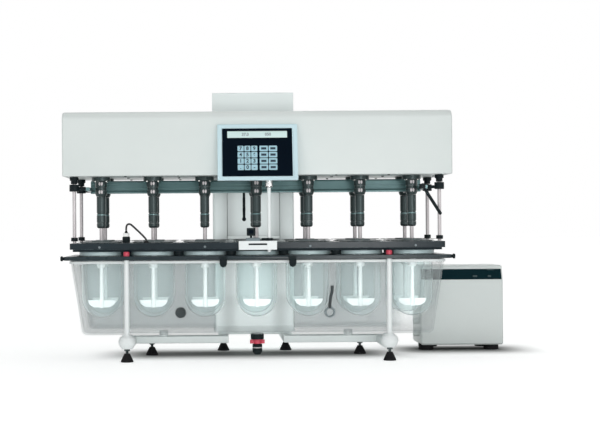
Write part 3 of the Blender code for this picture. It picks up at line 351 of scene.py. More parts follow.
def makeAcrylic(name, look):
    material, tree, shader, place = newMaterial(name)
    feedGrain(tree, shader, place, look)
    parts = addNode(tree, "SeparateXYZ", {0: place}).outputs
    # the rear wall is drawn more opaque and grey than the front one, which is nearly clear; both are clearer
    # in the middle and at the right end
    depth = ranged(tree, parts["Y"], look["frontY"], look["rearY"], look["front"], look["rear"], "SMOOTHSTEP")
    sideways = calculated(tree, "SUBTRACT", parts["X"], origin.x)
    low, high = look["clearHalf"] - look["clearFade"], look["clearHalf"] + look["clearFade"]
    reach = calculated(tree, "ABSOLUTE", sideways)
    outsideMiddle = ranged(tree, reach, low, high, look["clearCover"], 1.0, "SMOOTHSTEP")
    ending = ranged(tree, sideways, look["endLow"], look["endHigh"], 1.0, look["endCover"], "SMOOTHSTEP")
    cover = calculated(tree, "MULTIPLY", depth, calculated(tree, "MULTIPLY", outsideMiddle, ending))
    facing = addNode(tree, "LayerWeight", {"Blend": look["edgeBlend"]}).outputs["Facing"]
    rim = calculated(tree, "MULTIPLY", facing, look["edgeCover"])
    feed(tree, shader, {"Base Color": feedTone(tree, place, look, look["mottleScale"]),
        "Alpha": calculated(tree, "MAXIMUM", cover, rim)})
    return material


finish["vesselGlass"] = makeGlass("vesselGlass", clearSettings["vesselGlass"])
finish["bathAcrylic"] = makeAcrylic("bathAcrylic", clearSettings["bathAcrylic"])
print("finishes made")

# mesh helpers; a turned shape stands on +Z until one of these turns it
towardFront, towardRear = (Matrix.Rotation(side * math.pi / 2, 4, "X") for side in (1, -1))
downward = Matrix.Rotation(math.pi, 4, "X")
shift = Matrix.Translation
meshSettings = {"merge": 0.00001, "flat": 1.5, "sharp": 20}


def block(low, high):
    shape = bmesh.new()
    bmesh.ops.create_cube(shape, size=1)
    size = Vector(high) - Vector(low)
    bmesh.ops.scale(shape, vec=size, verts=shape.verts)
    bmesh.ops.translate(shape, vec=(Vector(high) + Vector(low)) / 2, verts=shape.verts)
    return shape


def turned(profile, centre, steps):
    shape = bmesh.new()
    verts = [shape.verts.new((radius, 0, height)) for radius, height in profile]
    edges = [shape.edges.new(pair) for pair in zip(verts, verts[1:])]
    bmesh.ops.spin(shape, geom=verts + edges, cent=(0, 0, 0), axis=(0, 0, 1), angle=2 * math.pi, steps=steps,
        use_merge=True)
    bmesh.ops.remove_doubles(shape, verts=shape.verts, dist=meshSettings["merge"])
    bmesh.ops.recalc_face_normals(shape, faces=shape.faces)
    return moved(shape, centre)


# a ring about Z with rounded outer edges
def ringProfile(inner, outer, low, high, edge):
    return [(inner, low), (outer - edge, low), (outer, low + edge), (outer, high - edge),
        (outer - edge, high), (inner, high), (inner, low)]


def squareRing(inner, outer, low, high):
    return [(inner, low), (outer, low), (outer, high), (inner, high), (inner, low)]


def prism(outline, depth):
    shape = bmesh.new()
    face = shape.faces.new([shape.verts.new(point) for point in outline])
    grown = bmesh.ops.extrude_face_region(shape, geom=[face])
    moved = [item for item in grown["geom"] if isinstance(item, bmesh.types.BMVert)]
    bmesh.ops.translate(shape, vec=depth, verts=moved)
    bmesh.ops.recalc_face_normals(shape, faces=shape.faces)
    return shape


def placed(shape, matrix):
    bmesh.ops.transform(shape, matrix=matrix, verts=shape.verts)
    return shape


def moved(shape, offset):
    bmesh.ops.translate(shape, vec=offset, verts=shape.verts)
    return shape


def sharpEdges(shape, angle):
    limit = math.radians(angle)
    return [edge for edge in shape.edges if len(edge.link_faces) == 2 and edge.calc_face_angle() > limit]


def bevelled(shape, edges, width, segments):
    bmesh.ops.bevel(shape, geom=edges, offset=width, offset_type="OFFSET", affect="EDGES", segments=segments,
        profile=0.5, material=-1, clamp_overlap=True)
    return shape


def softened(shape, width, segments=2, angle=32):
    return bevelled(shape, sharpEdges(shape, angle), width, segments)


def standingRounded(low, high, radius, segments):
    shape = block(low, high)
    least = meshSettings["merge"]
    upright = [edge for edge in shape.edges if abs(edge.verts[0].co.z - edge.verts[1].co.z) > least]
    return bevelled(shape, upright, radius, segments)


def copiedNode(node):
    shape = bmesh.new()
    shape.from_mesh(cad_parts[node].data)
    bmesh.ops.remove_doubles(shape, verts=shape.verts, dist=meshSettings["merge"])
    bmesh.ops.dissolve_limit(shape, angle_limit=math.radians(meshSettings["flat"]), verts=shape.verts,
        edges=shape.edges)
    bmesh.ops.triangulate(shape, faces=[face for face in shape.faces if len(face.verts) > 4])
    return shape


def absorb(whole, shape):
    part = bpy.data.meshes.new("part")
    shape.to_mesh(part)
    whole.from_mesh(part)
    bpy.data.meshes.remove(part)
    shape.free()


# the mesh of a curve that isn't kept
def meshed(curve):
    holder = newObject(curve.name, curve)
    bpy.context.view_layer.update()
    mesh = bpy.data.meshes.new_from_object(holder.evaluated_get(bpy.context.evaluated_depsgraph_get()))
    shape = bmesh.new()
    shape.from_mesh(mesh)
    bpy.data.objects.remove(holder)
    bpy.data.curves.remove(curve)
    bpy.data.meshes.remove(mesh)
    return shape


def tubeCurve(name, radius, roundness, spots):
    curve = bpy.data.curves.new(name, "CURVE")
    curve.dimensions = "3D"
    curve.bevel_depth = radius
    curve.bevel_resolution = roundness
    curve.use_fill_caps = True
    spline = curve.splines.new("BEZIER")
    spline.bezier_points.add(len(spots) - 1)
    for point, spot in zip(spline.bezier_points, spots):
        point.co = spot
        point.handle_left_type = "AUTO"
        point.handle_right_type = "AUTO"
    return curve


def makePiece(name, shapes, material, body, replaced=()):
    mesh = bpy.data.meshes.new(name)
    whole = bmesh.new()
    for shape in shapes:
        absorb(whole, shape)
    for face in whole.faces:
        face.smooth = True
    whole.to_mesh(mesh)
    whole.free()
    mesh.set_sharp_from_angle(angle=math.radians(meshSettings["sharp"]))
    mesh.materials.append(finish[material])
    piece = newObject(name, mesh)
    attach(piece, body)
    if replaced:
        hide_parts(*replaced)
    return piece


def dressNode(node, material):
    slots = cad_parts[node].data.materials
    slots.clear()
    slots.append(finish[material])


stations = [f"{index:02d}" for index in range(1, 15)]

# glass vessels: one litre, round bottomed, with a rolled flange that hangs in the plate
vesselSettings = {"outerRadius": 0.0535, "wall": 0.0022, "bottom": 0.110, "flangeRadius": 0.0605,
    "flangeTop": 0.3072, "flangeThickness": 0.0045, "bowlSteps": 10}


def vesselProfile(look):
    flangeRadius = look["flangeRadius"]
    outer = look["outerRadius"]
    inner = outer - look["wall"]
    centre = look["bottom"] + outer
    top = look["flangeTop"]
    steps = look["bowlSteps"]
    angles = [math.pi / 2 * step / steps for step in range(steps + 1)]
    outside = [(outer * math.sin(a), centre - outer * math.cos(a)) for a in angles]
    inside = [(inner * math.sin(a), centre - inner * math.cos(a)) for a in reversed(angles)]
    under = top - look["flangeThickness"]
    flange = [(outer, under - 0.004), (outer + 0.0014, under - 0.0008), (outer + 0.003, under),
        (flangeRadius - 0.0012, under), (flangeRadius, under + 0.0012), (flangeRadius, top - 0.0012),
        (flangeRadius - 0.0012, top), (inner + 0.0012, top), (inner, top - 0.0016)]
    return outside + flange + inside


def makeVessels():
    for station in stations:
        centre = underNode(f"vessel_{station}")
        glassVessel = makePiece(f"glassVessel_{station}", [turned(vesselProfile(vesselSettings), centre, 56)],
            "vesselGlass", "base", [f"vessel_{station}"])
        glassVessel.visible_shadow = False


makeVessels()
print("vessels made")

# lids: split in two halves that leave a slot for the paddle and a hole for its shaft
lidSettings = {"radius": 0.0575, "thickness": 0.0016, "hubRadius": 0.0262, "hubHeight": 0.0042,
    "slot": 0.0036, "hole": 0.0135, "seat": 0.3074, "ringInner": 0.0612, "ringOuter": 0.0645,
    "ringHeight": 0.0008}


def makeLids(look):
    plateTop = nodeHigh("vessel_plate").z
    seat, top, hole = look["seat"], look["seat"] + look["thickness"], look["hole"]
    hub, hubTop = look["hubRadius"], top + look["hubHeight"]
    for station in stations:
        centre = underNode(f"vessel_{station}")
        profile = [(hole, seat), (look["radius"], seat), (look["radius"], top), (hub, top), (hub, hubTop),
            (hole, hubTop), (hole, seat)]
        halves = []
        for side in (-1, 1):
            half = turned(profile, (0, 0, 0), 48)
            geometry = half.verts[:] + half.edges[:] + half.faces[:]
            cut = bmesh.ops.bisect_plane(half, geom=geometry, dist=meshSettings["merge"],
                plane_co=(0, side * look["slot"], 0), plane_no=(0, side, 0), clear_inner=True)
            rim = [item for item in cut["geom_cut"] if isinstance(item, bmesh.types.BMEdge)]
            bmesh.ops.holes_fill(half, edges=rim)
            bmesh.ops.recalc_face_normals(half, faces=half.faces)
            halves.append(moved(softened(half, 0.0006, 2, 40), centre))
        makePiece(f"vesselLid_{station}", halves, "lidPlastic", "base")
        ring = turned(squareRing(look["ringInner"], look["ringOuter"], plateTop + 0.0002,
            plateTop + look["ringHeight"]), centre, 56)
        makePiece(f"seatRing_{station}", [softened(ring, 0.0004)], "blackPlastic", "base")


makeLids(lidSettings)
print("lids made")

# spindles: dark tube and chuck, ground steel shaft, white lower shaft, collar and paddle
spindleSettings = {"tubeRadius": 0.012, "tubeTop": 0.428, "shaftTop": 0.523, "ringTop": 0.3815,
    "ringHeight": 0.003, "ringRadius": 0.0122, "chuckBottom": 0.345, "upperShaft": 0.006,
    "shaftRadius": 0.005, "collarRadius": 0.012, "collarTop": 0.252, "collarBottom": 0.240, "whiteTop": 0.300,
    "bladeTop": 0.156, "bladeHeight": 0.019, "bladeKnee": 0.52, "bladeHalf": 0.03725, "bladeFoot": 0.021,
    "bladeThickness": 0.004, "pulleyRadius": 0.020, "pulleyBore": 0.006, "pulleyLip": 0.0016,
    "hubRadius": 0.0066, "pulleyBottom": 0.504, "pulleyHeight": 0.018}


def bladeShape(look, centre):
    half, foot, top = look["bladeHalf"], look["bladeFoot"], look["bladeTop"]
    low = top - look["bladeHeight"]
    middle = low + look["bladeHeight"] * look["bladeKnee"]
    outline = [(-foot, 0, low), (foot, 0, low), ((foot + half) / 2 + 0.004, 0, middle - 0.002),
        (half, 0, top), (-half, 0, top), (-(foot + half) / 2 - 0.004, 0, middle - 0.002)]
    shape = moved(prism(outline, (0, look["bladeThickness"], 0)), (0, -look["bladeThickness"] / 2, 0))
    return moved(softened(shape, 0.0009, 3, 20), centre)


def makeSpindles(look):
    tube, tubeTop, chuck = look["tubeRadius"], look["tubeTop"], look["chuckBottom"]
    upperRadius, shaft = look["upperShaft"], look["shaftRadius"]
    shaftTop, whiteTop, sleeve = look["shaftTop"], look["whiteTop"], shaft + 0.0003
    ringTop, collarTop, bladeTop = look["ringTop"], look["collarTop"], look["bladeTop"]
    ringLow, ringInner = ringTop - look["ringHeight"], look["ringRadius"] - 0.0012
    collarLow, bladeLow = look["collarBottom"], bladeTop - look["bladeHeight"]
    collar, hub = look["collarRadius"], look["hubRadius"]
    wheel, bore, lip = look["pulleyRadius"], look["pulleyBore"], look["pulleyRadius"] + look["pulleyLip"]
    low, height = look["pulleyBottom"], look["pulleyHeight"]
    for station in stations:
        body = f"spindle_{station}"
        centre = underNode(body)
        tubeProfile = [(0, tubeTop), (tube - 0.001, tubeTop), (tube, tubeTop - 0.001),
            (tube, ringTop + 0.004), (tube - 0.0012, ringTop + 0.003), (tube - 0.0012, ringTop),
            (ringInner, ringTop), (ringInner, ringLow), (tube, ringLow - 0.001), (tube, chuck + 0.016),
            (tube - 0.0008, chuck + 0.015), (tube - 0.0008, chuck + 0.0125), (tube, chuck + 0.0115),
            (tube, chuck + 0.005), (tube - 0.0012, chuck + 0.0018), (tube - 0.004, chuck), (0, chuck)]
        makePiece(f"spindleTube_{station}", [turned(tubeProfile, centre, 40)], "darkAnodised", body,
            [body])
        ring = turned(squareRing(tube - 0.0006, tube + 0.0001, ringLow + 0.0002, ringTop - 0.0002), centre,
            40)
        makePiece(f"chuckRing_{station}", [ring], "tealMetal", body)
        upper = turned([(0, shaftTop), (upperRadius - 0.0005, shaftTop), (upperRadius, shaftTop - 0.0005),
            (upperRadius, tubeTop - 0.002), (0, tubeTop - 0.002)], centre, 24)
        lower = turned([(0, chuck + 0.002), (shaft, chuck + 0.002), (shaft, whiteTop), (0, whiteTop)], centre,
            24)
        makePiece(f"spindleShaft_{station}", [upper, lower], "satinSteel", body)
        whiteProfile = [(0, whiteTop + 0.0002), (sleeve, whiteTop + 0.0002), (sleeve, collarTop),
            (collar - 0.001, collarTop), (collar, collarTop - 0.001), (collar, collarLow + 0.003),
            (collar - 0.003, collarLow), (sleeve, collarLow), (sleeve, bladeTop + 0.003),
            (hub, bladeTop + 0.001), (hub, bladeLow - 0.0005), (hub - 0.001, bladeLow - 0.0015),
            (0, bladeLow - 0.0015)]
        makePiece(f"paddle_{station}", [turned(whiteProfile, centre, 32), bladeShape(look, centre)],
            "whitePlastic", body)
        pulley = turned([(bore, low), (lip, low), (lip, low + 0.0012), (wheel - 0.0003, low + 0.0016),
            (wheel - 0.0003, low + height - 0.0016), (lip, low + height - 0.0012), (lip, low + height),
            (bore, low + height), (bore, low)], centre, 40)
        makePiece(f"spindlePulley_{station}", [pulley], "blackPlastic", body)


makeSpindles(spindleSettings)
print("spindles made")

# bearing housings under the head
housingSettings = {"flangeRadius": 0.0245, "flangeLow": 0.468, "flangeHigh": 0.4795, "radius": 0.0155,
    "coneTop": 0.435, "low": 0.4285, "bore": 0.0065, "bandHigh": 0.4515, "bandLow": 0.4445,
    "bandDepth": 0.0014, "key": ((0, -0.001), (0.0026, -0.001), (0.0026, 0.0008), (0.0020, 0.0014),
    (0, 0.0014)), "mouth": 0.0125, "screwCircle": 0.0205, "screws": 4, "screw": (0.0024, 0.0022),
    "pairHeights": (0.4615, 0.4400), "pairTurn": 0.19, "pairStretch": 1.9}


def screwHead(radius, height, place):
    shape = turned([(0, 0), (radius, 0), (radius, height - 0.0005), (radius - 0.0005, height),
        (radius * 0.5, height), (radius * 0.5, height * 0.45), (0, height * 0.45)], (0, 0, 0), 16)
    return placed(shape, place)


def makeHousings(look):
    for station in stations:
        centre = underNode(f"spindle_{station}")
        flange, radius = look["flangeRadius"], look["radius"]
        low, high = look["flangeLow"], look["flangeHigh"]
        bore, bandHigh, bandLow = look["bore"], look["bandHigh"], look["bandLow"]
        inner = radius - look["bandDepth"]
        profile = [(bore, high), (flange - 0.001, high), (flange, high - 0.001), (flange, low + 0.001),
            (flange - 0.001, low), (radius + 0.002, low), (radius, low - 0.002), (radius, bandHigh + 0.001),
            (inner, bandHigh), (inner, bandLow), (radius, bandLow - 0.001), (radius, look["coneTop"]),
            (look["mouth"], look["low"]), (bore, look["low"]), (bore, high)]
        makePiece(f"bearingHousing_{station}", [turned(profile, centre, 48)], "darkAnodised", "head")
        pairs = []
        for height in look["pairHeights"]:
            for side in (-1, 1):
                turn = side * look["pairTurn"]
                spot = centre + Vector((radius * math.sin(turn), -radius * math.cos(turn), height))
                facing = Matrix.Rotation(turn, 4, "Z") @ towardFront
                head = turned(look["key"], (0, 0, 0), 20)
                bmesh.ops.scale(head, vec=(1, look["pairStretch"], 1), verts=head.verts)
                pairs.append(placed(head, shift(spot) @ facing))
        makePiece(f"housingKeys_{station}", pairs, "satinSteel", "head")
        heads = []
        for index in range(look["screws"]):
            turn = math.pi / 4 + index * 2 * math.pi / look["screws"]
            spot = centre + Vector((look["screwCircle"] * math.cos(turn),
                look["screwCircle"] * math.sin(turn), low))
            heads.append(screwHead(*look["screw"], shift(spot) @ downward))
        makePiece(f"housingScrews_{station}", heads, "groundSteel", "head")


makeHousings(housingSettings)
print("bearing housings made")

# pieces that keep their solid's form and get rounded edges
refinedSettings = {
    "vessel_plate": ("vesselPlate", 0.0012, "darkPlate", "base", "dark_plate"),
    "bath_rim": ("bathRim", 0.0014, "rimPlastic", "base", "black_plastic"),
    "column_housing": ("columnHousing", 0.0022, "litColumnPaint", "base", "pale_paint"),
    "head_cover": ("headCover", 0.0018, "palePaint", "head", "pale_paint"),
    "head_mast": ("headMast", 0.0016, "litColumnPaint", "head", "pale_paint"),
    "control_panel": ("panelBezel", 0.0014, "bezelBlue", "head", "panel_blue"),
    "circulator_case": ("circulatorCase", 0.0020, "palePaint", "base", "pale_paint"),
    "circulator_fascia": ("circulatorFascia", 0.0008, "fasciaDark", "base", "dark_plate"),
    "turn_button_left": ("turnButtonLeft", 0.0009, "blackPlastic", "button_left", "black_plastic"),
    "turn_button_right": ("turnButtonRight", 0.0009, "blackPlastic", "button_right", "black_plastic"),
}


def makeRefined():
    for node, (name, width, material, body, slot) in refinedSettings.items():
        makePiece(name, [softened(copiedNode(node), width, 2, 25)], material, body, [node])


makeRefined()
print("plate, rim, column, head and circulator made")

mastCoverSettings = {"front": 0.1852, "back": 0.1897, "half": 0.1138, "low": 0.560, "high": 0.7212,
    "webHalf": 0.0728, "webLow": 0.3124, "webHigh": 0.330}


def makeMastCovers(look):
    upper = block((-look["half"], look["front"], look["low"]), (look["half"], look["back"], look["high"]))
    lower = block((-look["webHalf"], look["front"] + 0.002, look["webLow"]),
        (look["webHalf"], look["back"] + 0.004, look["webHigh"]))
    makePiece("mastCovers", [moved(softened(shape, 0.0010), origin) for shape in (upper, lower)], "litPalePaint",
        "head")


makeMastCovers(mastCoverSettings)

plateScrewSettings = {"x": (-0.408, -0.136, 0.136, 0.408), "z": 0.2955, "radius": 0.0030, "height": 0.0016}


def makePlateScrews(look):
    heads = []
    for face, y in ((math.pi / 2, nodeLow("vessel_plate").y), (-math.pi / 2, nodeHigh("vessel_plate").y)):
        turn = Matrix.Rotation(face, 4, "X")
        heads += [screwHead(look["radius"], look["height"], shift((origin.x + x, y, look["z"])) @ turn)
            for x in look["x"]]
    makePiece("plateScrews", heads, "greyPlastic", "base")


makePlateScrews(plateScrewSettings)

collarSettings = {"inner": 0.0538, "outer": 0.0580, "low": 0.2735, "high": 0.2836, "edge": 0.0010,
    "spacerX": (-0.340, -0.204, -0.068, 0.068, 0.204, 0.340), "spacerY": 0.122, "spacerRadius": 0.0130}


def makeCollars(look):
    inner, outer, low, high, edge = (look[word] for word in ("inner", "outer", "low", "high", "edge"))
    for station in stations:
        ring = turned(ringProfile(inner, outer, low, high, edge), underNode(f"vessel_{station}"), 56)
        makePiece(f"neckCollar_{station}", [ring], "collarPlastic", "base")
    radius = look["spacerRadius"]
    spacers = [turned([(0, low), (radius - edge, low), (radius, low + edge), (radius, high), (0, high)],
        origin + Vector((x, side * look["spacerY"], 0)), 24) for x in look["spacerX"] for side in (-1, 1)]
    makePiece("plateSpacers", spacers, "blackPlastic", "base")


makeCollars(collarSettings)
print("mast covers, screws and collars made")

# bath: clear moulded tank with rounded corners and a thick shoulder under its rim
bathSettings = {"topX": 0.486, "topY": 0.138, "footX": 0.457, "footY": 0.128, "foot": 0.067, "top": 0.2618,
    "wall": 0.0045, "corner": 0.024, "floorRound": 0.013, "shoulder": 0.2530, "shoulderHeight": 0.0062,
    "shoulderX": 0.4866, "shoulderY": 0.1388, "shoulderOut": 0.0016, "knobRadius": 0.0066, "knobNeck": 0.0044,
    "knobLength": 0.0090, "knobInset": 0.016}


def openEnds(shape, above):
    ends = [face for face in shape.faces if abs(face.normal.z) > 0.9 and face.calc_center_median().z > above]
    bmesh.ops.delete(shape, geom=ends, context="FACES_ONLY")


def bathSkin(look, inset):
    shape = bmesh.new()
    bmesh.ops.create_cube(shape, size=2)
    low, high = look["foot"] + inset, look["top"]
    for vert in shape.verts:
        upper = vert.co.z > 0
        reachX = (look["topX"] if upper else look["footX"]) - inset
        reachY = (look["topY"] if upper else look["footY"]) - inset
        vert.co = Vector((vert.co.x * reachX, vert.co.y * reachY, high if upper else low))
    upright = [edge for edge in shape.edges if abs(edge.verts[0].co.z - edge.verts[1].co.z) > 0.05]
    bevelled(shape, upright, look["corner"] - inset, 8)
    floorEdges = [edge for edge in shape.edges if max(vert.co.z for vert in edge.verts) < low + 0.001]
    bevelled(shape, floorEdges, look["floorRound"] - inset * 0.5, 6)
    openEnds(shape, high - 0.0005)
    return shape


def makeBath(look):
    centre = underNode("bath_tank")
    tank = bathSkin(look, 0)
    absorb(tank, bathSkin(look, look["wall"]))
    bmesh.ops.bridge_loops(tank, edges=[edge for edge in tank.edges if edge.is_boundary])
    bmesh.ops.recalc_face_normals(tank, faces=tank.faces)
    piece = makePiece("bathTank", [moved(tank, centre)], "bathAcrylic", "base",
        ["bath_tank"])
    piece.visible_shadow = False
    low, high, out = look["shoulder"], look["shoulder"] + look["shoulderHeight"], look["shoulderOut"]
    reachX, reachY, corner = look["shoulderX"], look["shoulderY"], look["corner"]
    line = standingRounded((-reachX - out, -reachY - out, low), (reachX + out, reachY + out, high),
        corner + out, 8)
    hole = standingRounded((-reachX, -reachY, low), (reachX, reachY, high), corner, 8)
    openEnds(line, 0)
    openEnds(hole, 0)
    absorb(line, hole)
    for level in (low, high):
        loops = [edge for edge in line.edges if edge.is_boundary and all(
            abs(vert.co.z - level) < meshSettings["merge"] for vert in edge.verts)]
        bmesh.ops.bridge_loops(line, edges=loops)
    bmesh.ops.recalc_face_normals(line, faces=line.faces)
    makePiece("bathShoulder", [moved(line, centre)], "whitePlastic", "base").visible_shadow = False
    radius, neck, length = look["knobRadius"], look["knobNeck"], look["knobLength"]
    knobs = []
    for side, x in ((-1, nodeLow("bath_rim").x), (1, nodeHigh("bath_rim").x)):
        knob = turned([(0, 0), (neck, 0), (neck, length * 0.3), (radius, length * 0.4),
            (radius, length - 0.0015), (radius - 0.0015, length), (0, length)], (0, 0, 0), 24)
        spot = shift((x, nodeLow("bath_rim").y + look["knobInset"], nodeMiddle("bath_rim").z))
        knobs.append(placed(knob, spot @ Matrix.Rotation(side * math.pi / 2, 4, "Y")))
    makePiece("rimKnobs", knobs, "blackPlastic", "base")


makeBath(bathSettings)
print("bath made")

# plug, fitting and tube on the front wall
wallSettings = {"y": 0.1262, "plug": (-0.205, 0.110), "fitting": (0.207, 0.109), "radius": 0.015,
    "bore": 0.0095, "depth": 0.0065, "tubeRadius": 0.0042, "tube": ((0.207, 0.1225, 0.120),
    (0.2075, 0.121, 0.136), (0.2095, 0.120, 0.152), (0.213, 0.120, 0.166), (0.214, 0.121, 0.182))}


def makeWallFittings(look):
    radius, depth, bore = look["radius"], look["depth"], look["bore"]
    plug = turned([(0, 0), (radius - 0.0008, 0), (radius, 0.0010), (radius, depth - 0.0015),
        (radius - 0.0015, depth), (radius - 0.004, depth), (radius - 0.005, depth - 0.0012),
        (0, depth - 0.0012)], (0, 0, 0), 40)
    ring = turned([(bore, 0), (radius, 0), (radius, depth - 0.001), (radius - 0.001, depth),
        (bore + 0.001, depth), (bore, depth - 0.001), (bore, 0)], (0, 0, 0), 40)
    (plugX, plugZ), (ringX, ringZ) = look["plug"], look["fitting"]
    plug = placed(plug, shift(origin + Vector((plugX, look["y"], plugZ))) @ towardFront)
    ring = placed(ring, shift(origin + Vector((ringX, look["y"], ringZ))) @ towardFront)
    makePiece("bathPlug", [plug], "blackPlastic", "base")
    makePiece("bathFitting", [ring], "greyPlastic", "base")
    tube = tubeCurve("bathTube", look["tubeRadius"], 5, [origin + Vector(spot) for spot in look["tube"]])
    makePiece("bathTube", [meshed(tube)], "blackPlastic", "base")


makeWallFittings(wallSettings)

# base frame, hubs, feet and posts
baseSettings = {"low": 0.033, "high": 0.052, "armInner": 0.323, "armOuter": 0.353, "beamFront": 0.027,
    "beamBack": 0.077, "legInner": 0.074, "legOuter": 0.101, "back": 0.312, "columnFront": 0.190,
    "bridge": 0.008, "edge": 0.0022, "postX": 0.338, "postY": -0.150, "postRadius": 0.0065,
    "capRadius": 0.0080, "capLow": 0.272, "capHigh": 0.284, "feet": ((0.338, -0.150), (0.282, 0.053),
    (0.087, 0.182)), "footRadius": 0.0165, "footNeck": 0.0080, "footHeight": 0.022, "studRadius": 0.004,
    "hubRadius": 0.0225, "hubNeck": 0.011, "hubLow": 0.034, "hubHigh": 0.070,
    "pads": ((0.338, -0.100), (0.250, 0.052)), "padRadius": 0.012, "padTop": 0.0665, "nutInner": 0.0068,
    "nutOuter": 0.0075, "threads": 9, "threadPitch": 0.00125, "threadDepth": 0.0006}


def makeBase(look):
    legInner, hubLow, hubHigh = look["legInner"], look["hubLow"], look["hubHigh"]
    postRadius, capLow, capHigh = look["postRadius"], look["capLow"], look["capHigh"]
    low, high = look["low"], look["high"]
    frames = []
    for side in (-1, 1):
        outline = [(side * x, y, low) for x, y in ((look["armInner"], look["postY"]),
            (look["armOuter"], look["postY"]), (look["armOuter"], look["beamBack"]),
            (look["legOuter"], look["beamBack"]), (look["legOuter"], look["back"]), (legInner, look["back"]),
            (legInner, look["beamFront"]), (look["armInner"], look["beamFront"]))]
        frames.append(moved(softened(prism(outline, (0, 0, high - low)), look["edge"], 3), origin))
    bridge = block((-legInner - 0.002, look["columnFront"], high - look["bridge"]),
        (legInner + 0.002, look["back"] - 0.001, high - 0.0003))
    frames.append(moved(bridge, origin))
    makePiece("baseFrame", frames, "litPalePaint", "base", ["base_frame"])
    pads = []
    for x, y in look["pads"]:
        for side in (-1, 1):
            pads.append(turned([(0, high - 0.001), (look["padRadius"], high - 0.001),
                (look["padRadius"], look["padTop"] - 0.001), (look["padRadius"] - 0.001, look["padTop"]),
                (0, look["padTop"])], origin + Vector((side * x, y, 0)), 32))
    makePiece("bathPads", pads, "whitePlastic", "base")
    feet, studs = [], []
    for x, y in look["feet"]:
        for side in (-1, 1):
            spot = origin + Vector((side * x, y, 0))
            radius, neck, tall = look["footRadius"], look["footNeck"], look["footHeight"]
            feet.append(turned([(0, 0.0012), (radius - 0.003, 0.0012), (radius - 0.002, 0),
                (radius - 0.0006, 0), (radius, 0.0008), (radius, 0.0034), (radius - 0.0008, 0.0044),
                (neck + 0.001, tall * 0.84), (neck, tall * 0.9), (neck, tall - 0.0006), (neck - 0.0006, tall),
                (0, tall)], spot, 40))
            threads = [(0, tall - 0.001)]
            stud = look["studRadius"]
            for index in range(look["threads"]):
                foot = tall - 0.001 + index * look["threadPitch"]
                threads += [(stud, foot + 0.0004), (stud - look["threadDepth"], foot + 0.00105)]
            threads += [(stud, low + 0.001), (0, low + 0.001)]
            studs.append(turned(threads, spot, 20))
            inner, outer = look["nutInner"], look["nutOuter"]
            nut = turned([(0, low - 0.0046), (inner, low - 0.0046), (outer, low - 0.0040),
                (outer, low - 0.0008), (inner, low - 0.0002), (0, low - 0.0002)], spot, 6)
            studs.append(nut)
    makePiece("levellingFeet", feet, "softRubber", "base")
    makePiece("levellingStuds", studs, "darkAnodised", "base")
    for side, word in ((-1, "Left"), (1, "Right")):
        spot = origin + Vector((side * look["postX"], look["postY"], 0))
        middle = (hubLow + hubHigh) / 2
        radius, neck = look["hubRadius"], look["hubNeck"]
        hub = turned([(0, hubLow), (neck + 0.002, hubLow), (radius - 0.004, hubLow + 0.006),
            (radius - 0.001, middle - 0.005), (radius, middle), (radius - 0.001, middle + 0.005),
            (radius - 0.004, hubHigh - 0.007), (neck + 0.001, hubHigh - 0.0015), (neck, hubHigh),
            (0, hubHigh)], spot, 48)
        makePiece(f"postHub{word}", [hub], "whitePlastic", "base")
        post = turned([(0, hubHigh), (postRadius + 0.001, hubHigh), (postRadius + 0.001, hubHigh + 0.002),
            (postRadius, hubHigh + 0.003), (postRadius, capLow), (0, capLow)], spot, 32)
        makePiece(f"supportPost{word}", [post], "whitePlastic", "base",
            [f"support_post_{word.lower()}"])
        cap = look["capRadius"]
        redCap = turned([(0, capLow + 0.0002), (cap - 0.0008, capLow + 0.0002), (cap, capLow + 0.001),
            (cap, capHigh - 0.002), (cap - 0.0016, capHigh - 0.0004), (cap - 0.003, capHigh), (0, capHigh)],
            spot, 40)
        makePiece(f"postCap{word}", [redCap], "redPlastic", "base")


makeBase(baseSettings)
print("base made")

# head underside and its screws
chassisSettings = {"thickness": 0.008, "inset": 0.0036, "screw": (0.0034, 0.0022), "screwPitch": 0.136,
    "screwRows": (-0.140, -0.001, 0.150), "screwColumns": 8}


def makeChassis(look):
    low, high = nodeLow("head_cover"), nodeHigh("head_cover")
    bottom = low.z
    inset = look["inset"]
    plate = block((low.x + inset, low.y + inset, bottom + 0.0002), (high.x - inset, high.y - inset,
        bottom + look["thickness"]))
    makePiece("headChassis", [softened(plate, 0.0008)], "palePaint", "head", ["head_chassis"])
    middle = underNode("head_cover")
    heads = []
    for row in look["screwRows"]:
        for index in range(look["screwColumns"]):
            x = (index - (look["screwColumns"] - 1) / 2) * look["screwPitch"]
            spot = Vector((middle.x + x, underNode("bath_tank").y + row, bottom + 0.0002))
            heads.append(screwHead(*look["screw"], shift(spot) @ downward))
    makePiece("chassisScrews", heads, "darkAnodised", "head")


makeChassis(chassisSettings)

# control panel: dark glass, a display strip and a membrane keypad
panelSettings = {"low": 0.464, "high": 0.608, "footDepth": 0.050, "headDepth": 0.014, "half": 0.102,
    "bezel": 0.0105, "glassLeft": 0.0120, "glassRight": 0.0135, "recess": 0.0018,
    "display": (-0.0767, 0.1125, 0.1525, 0.1300), "numberCentre": (-0.0258, 0.0590),
    "functionCentre": (0.0273, 0.0590), "numberWidth": 0.0156, "functionWidth": 0.0214, "keyHeight": 0.0146,
    "numberPitch": 0.0174, "functionPitch": 0.0234, "pitchY": 0.0166, "keyRise": 0.0007, "keyRound": 0.0020,
    "digitSize": 0.0130, "stroke": 0.035, "bar": (0.0066, 0.0030), "shownSize": 0.0105,
    "shown": (("37.0", 0.30), ("050", 0.68))}
digitRows = (("7", "8", "9"), ("4", "5", "6"), ("1", "2", "3"), (".", "0", "-"))


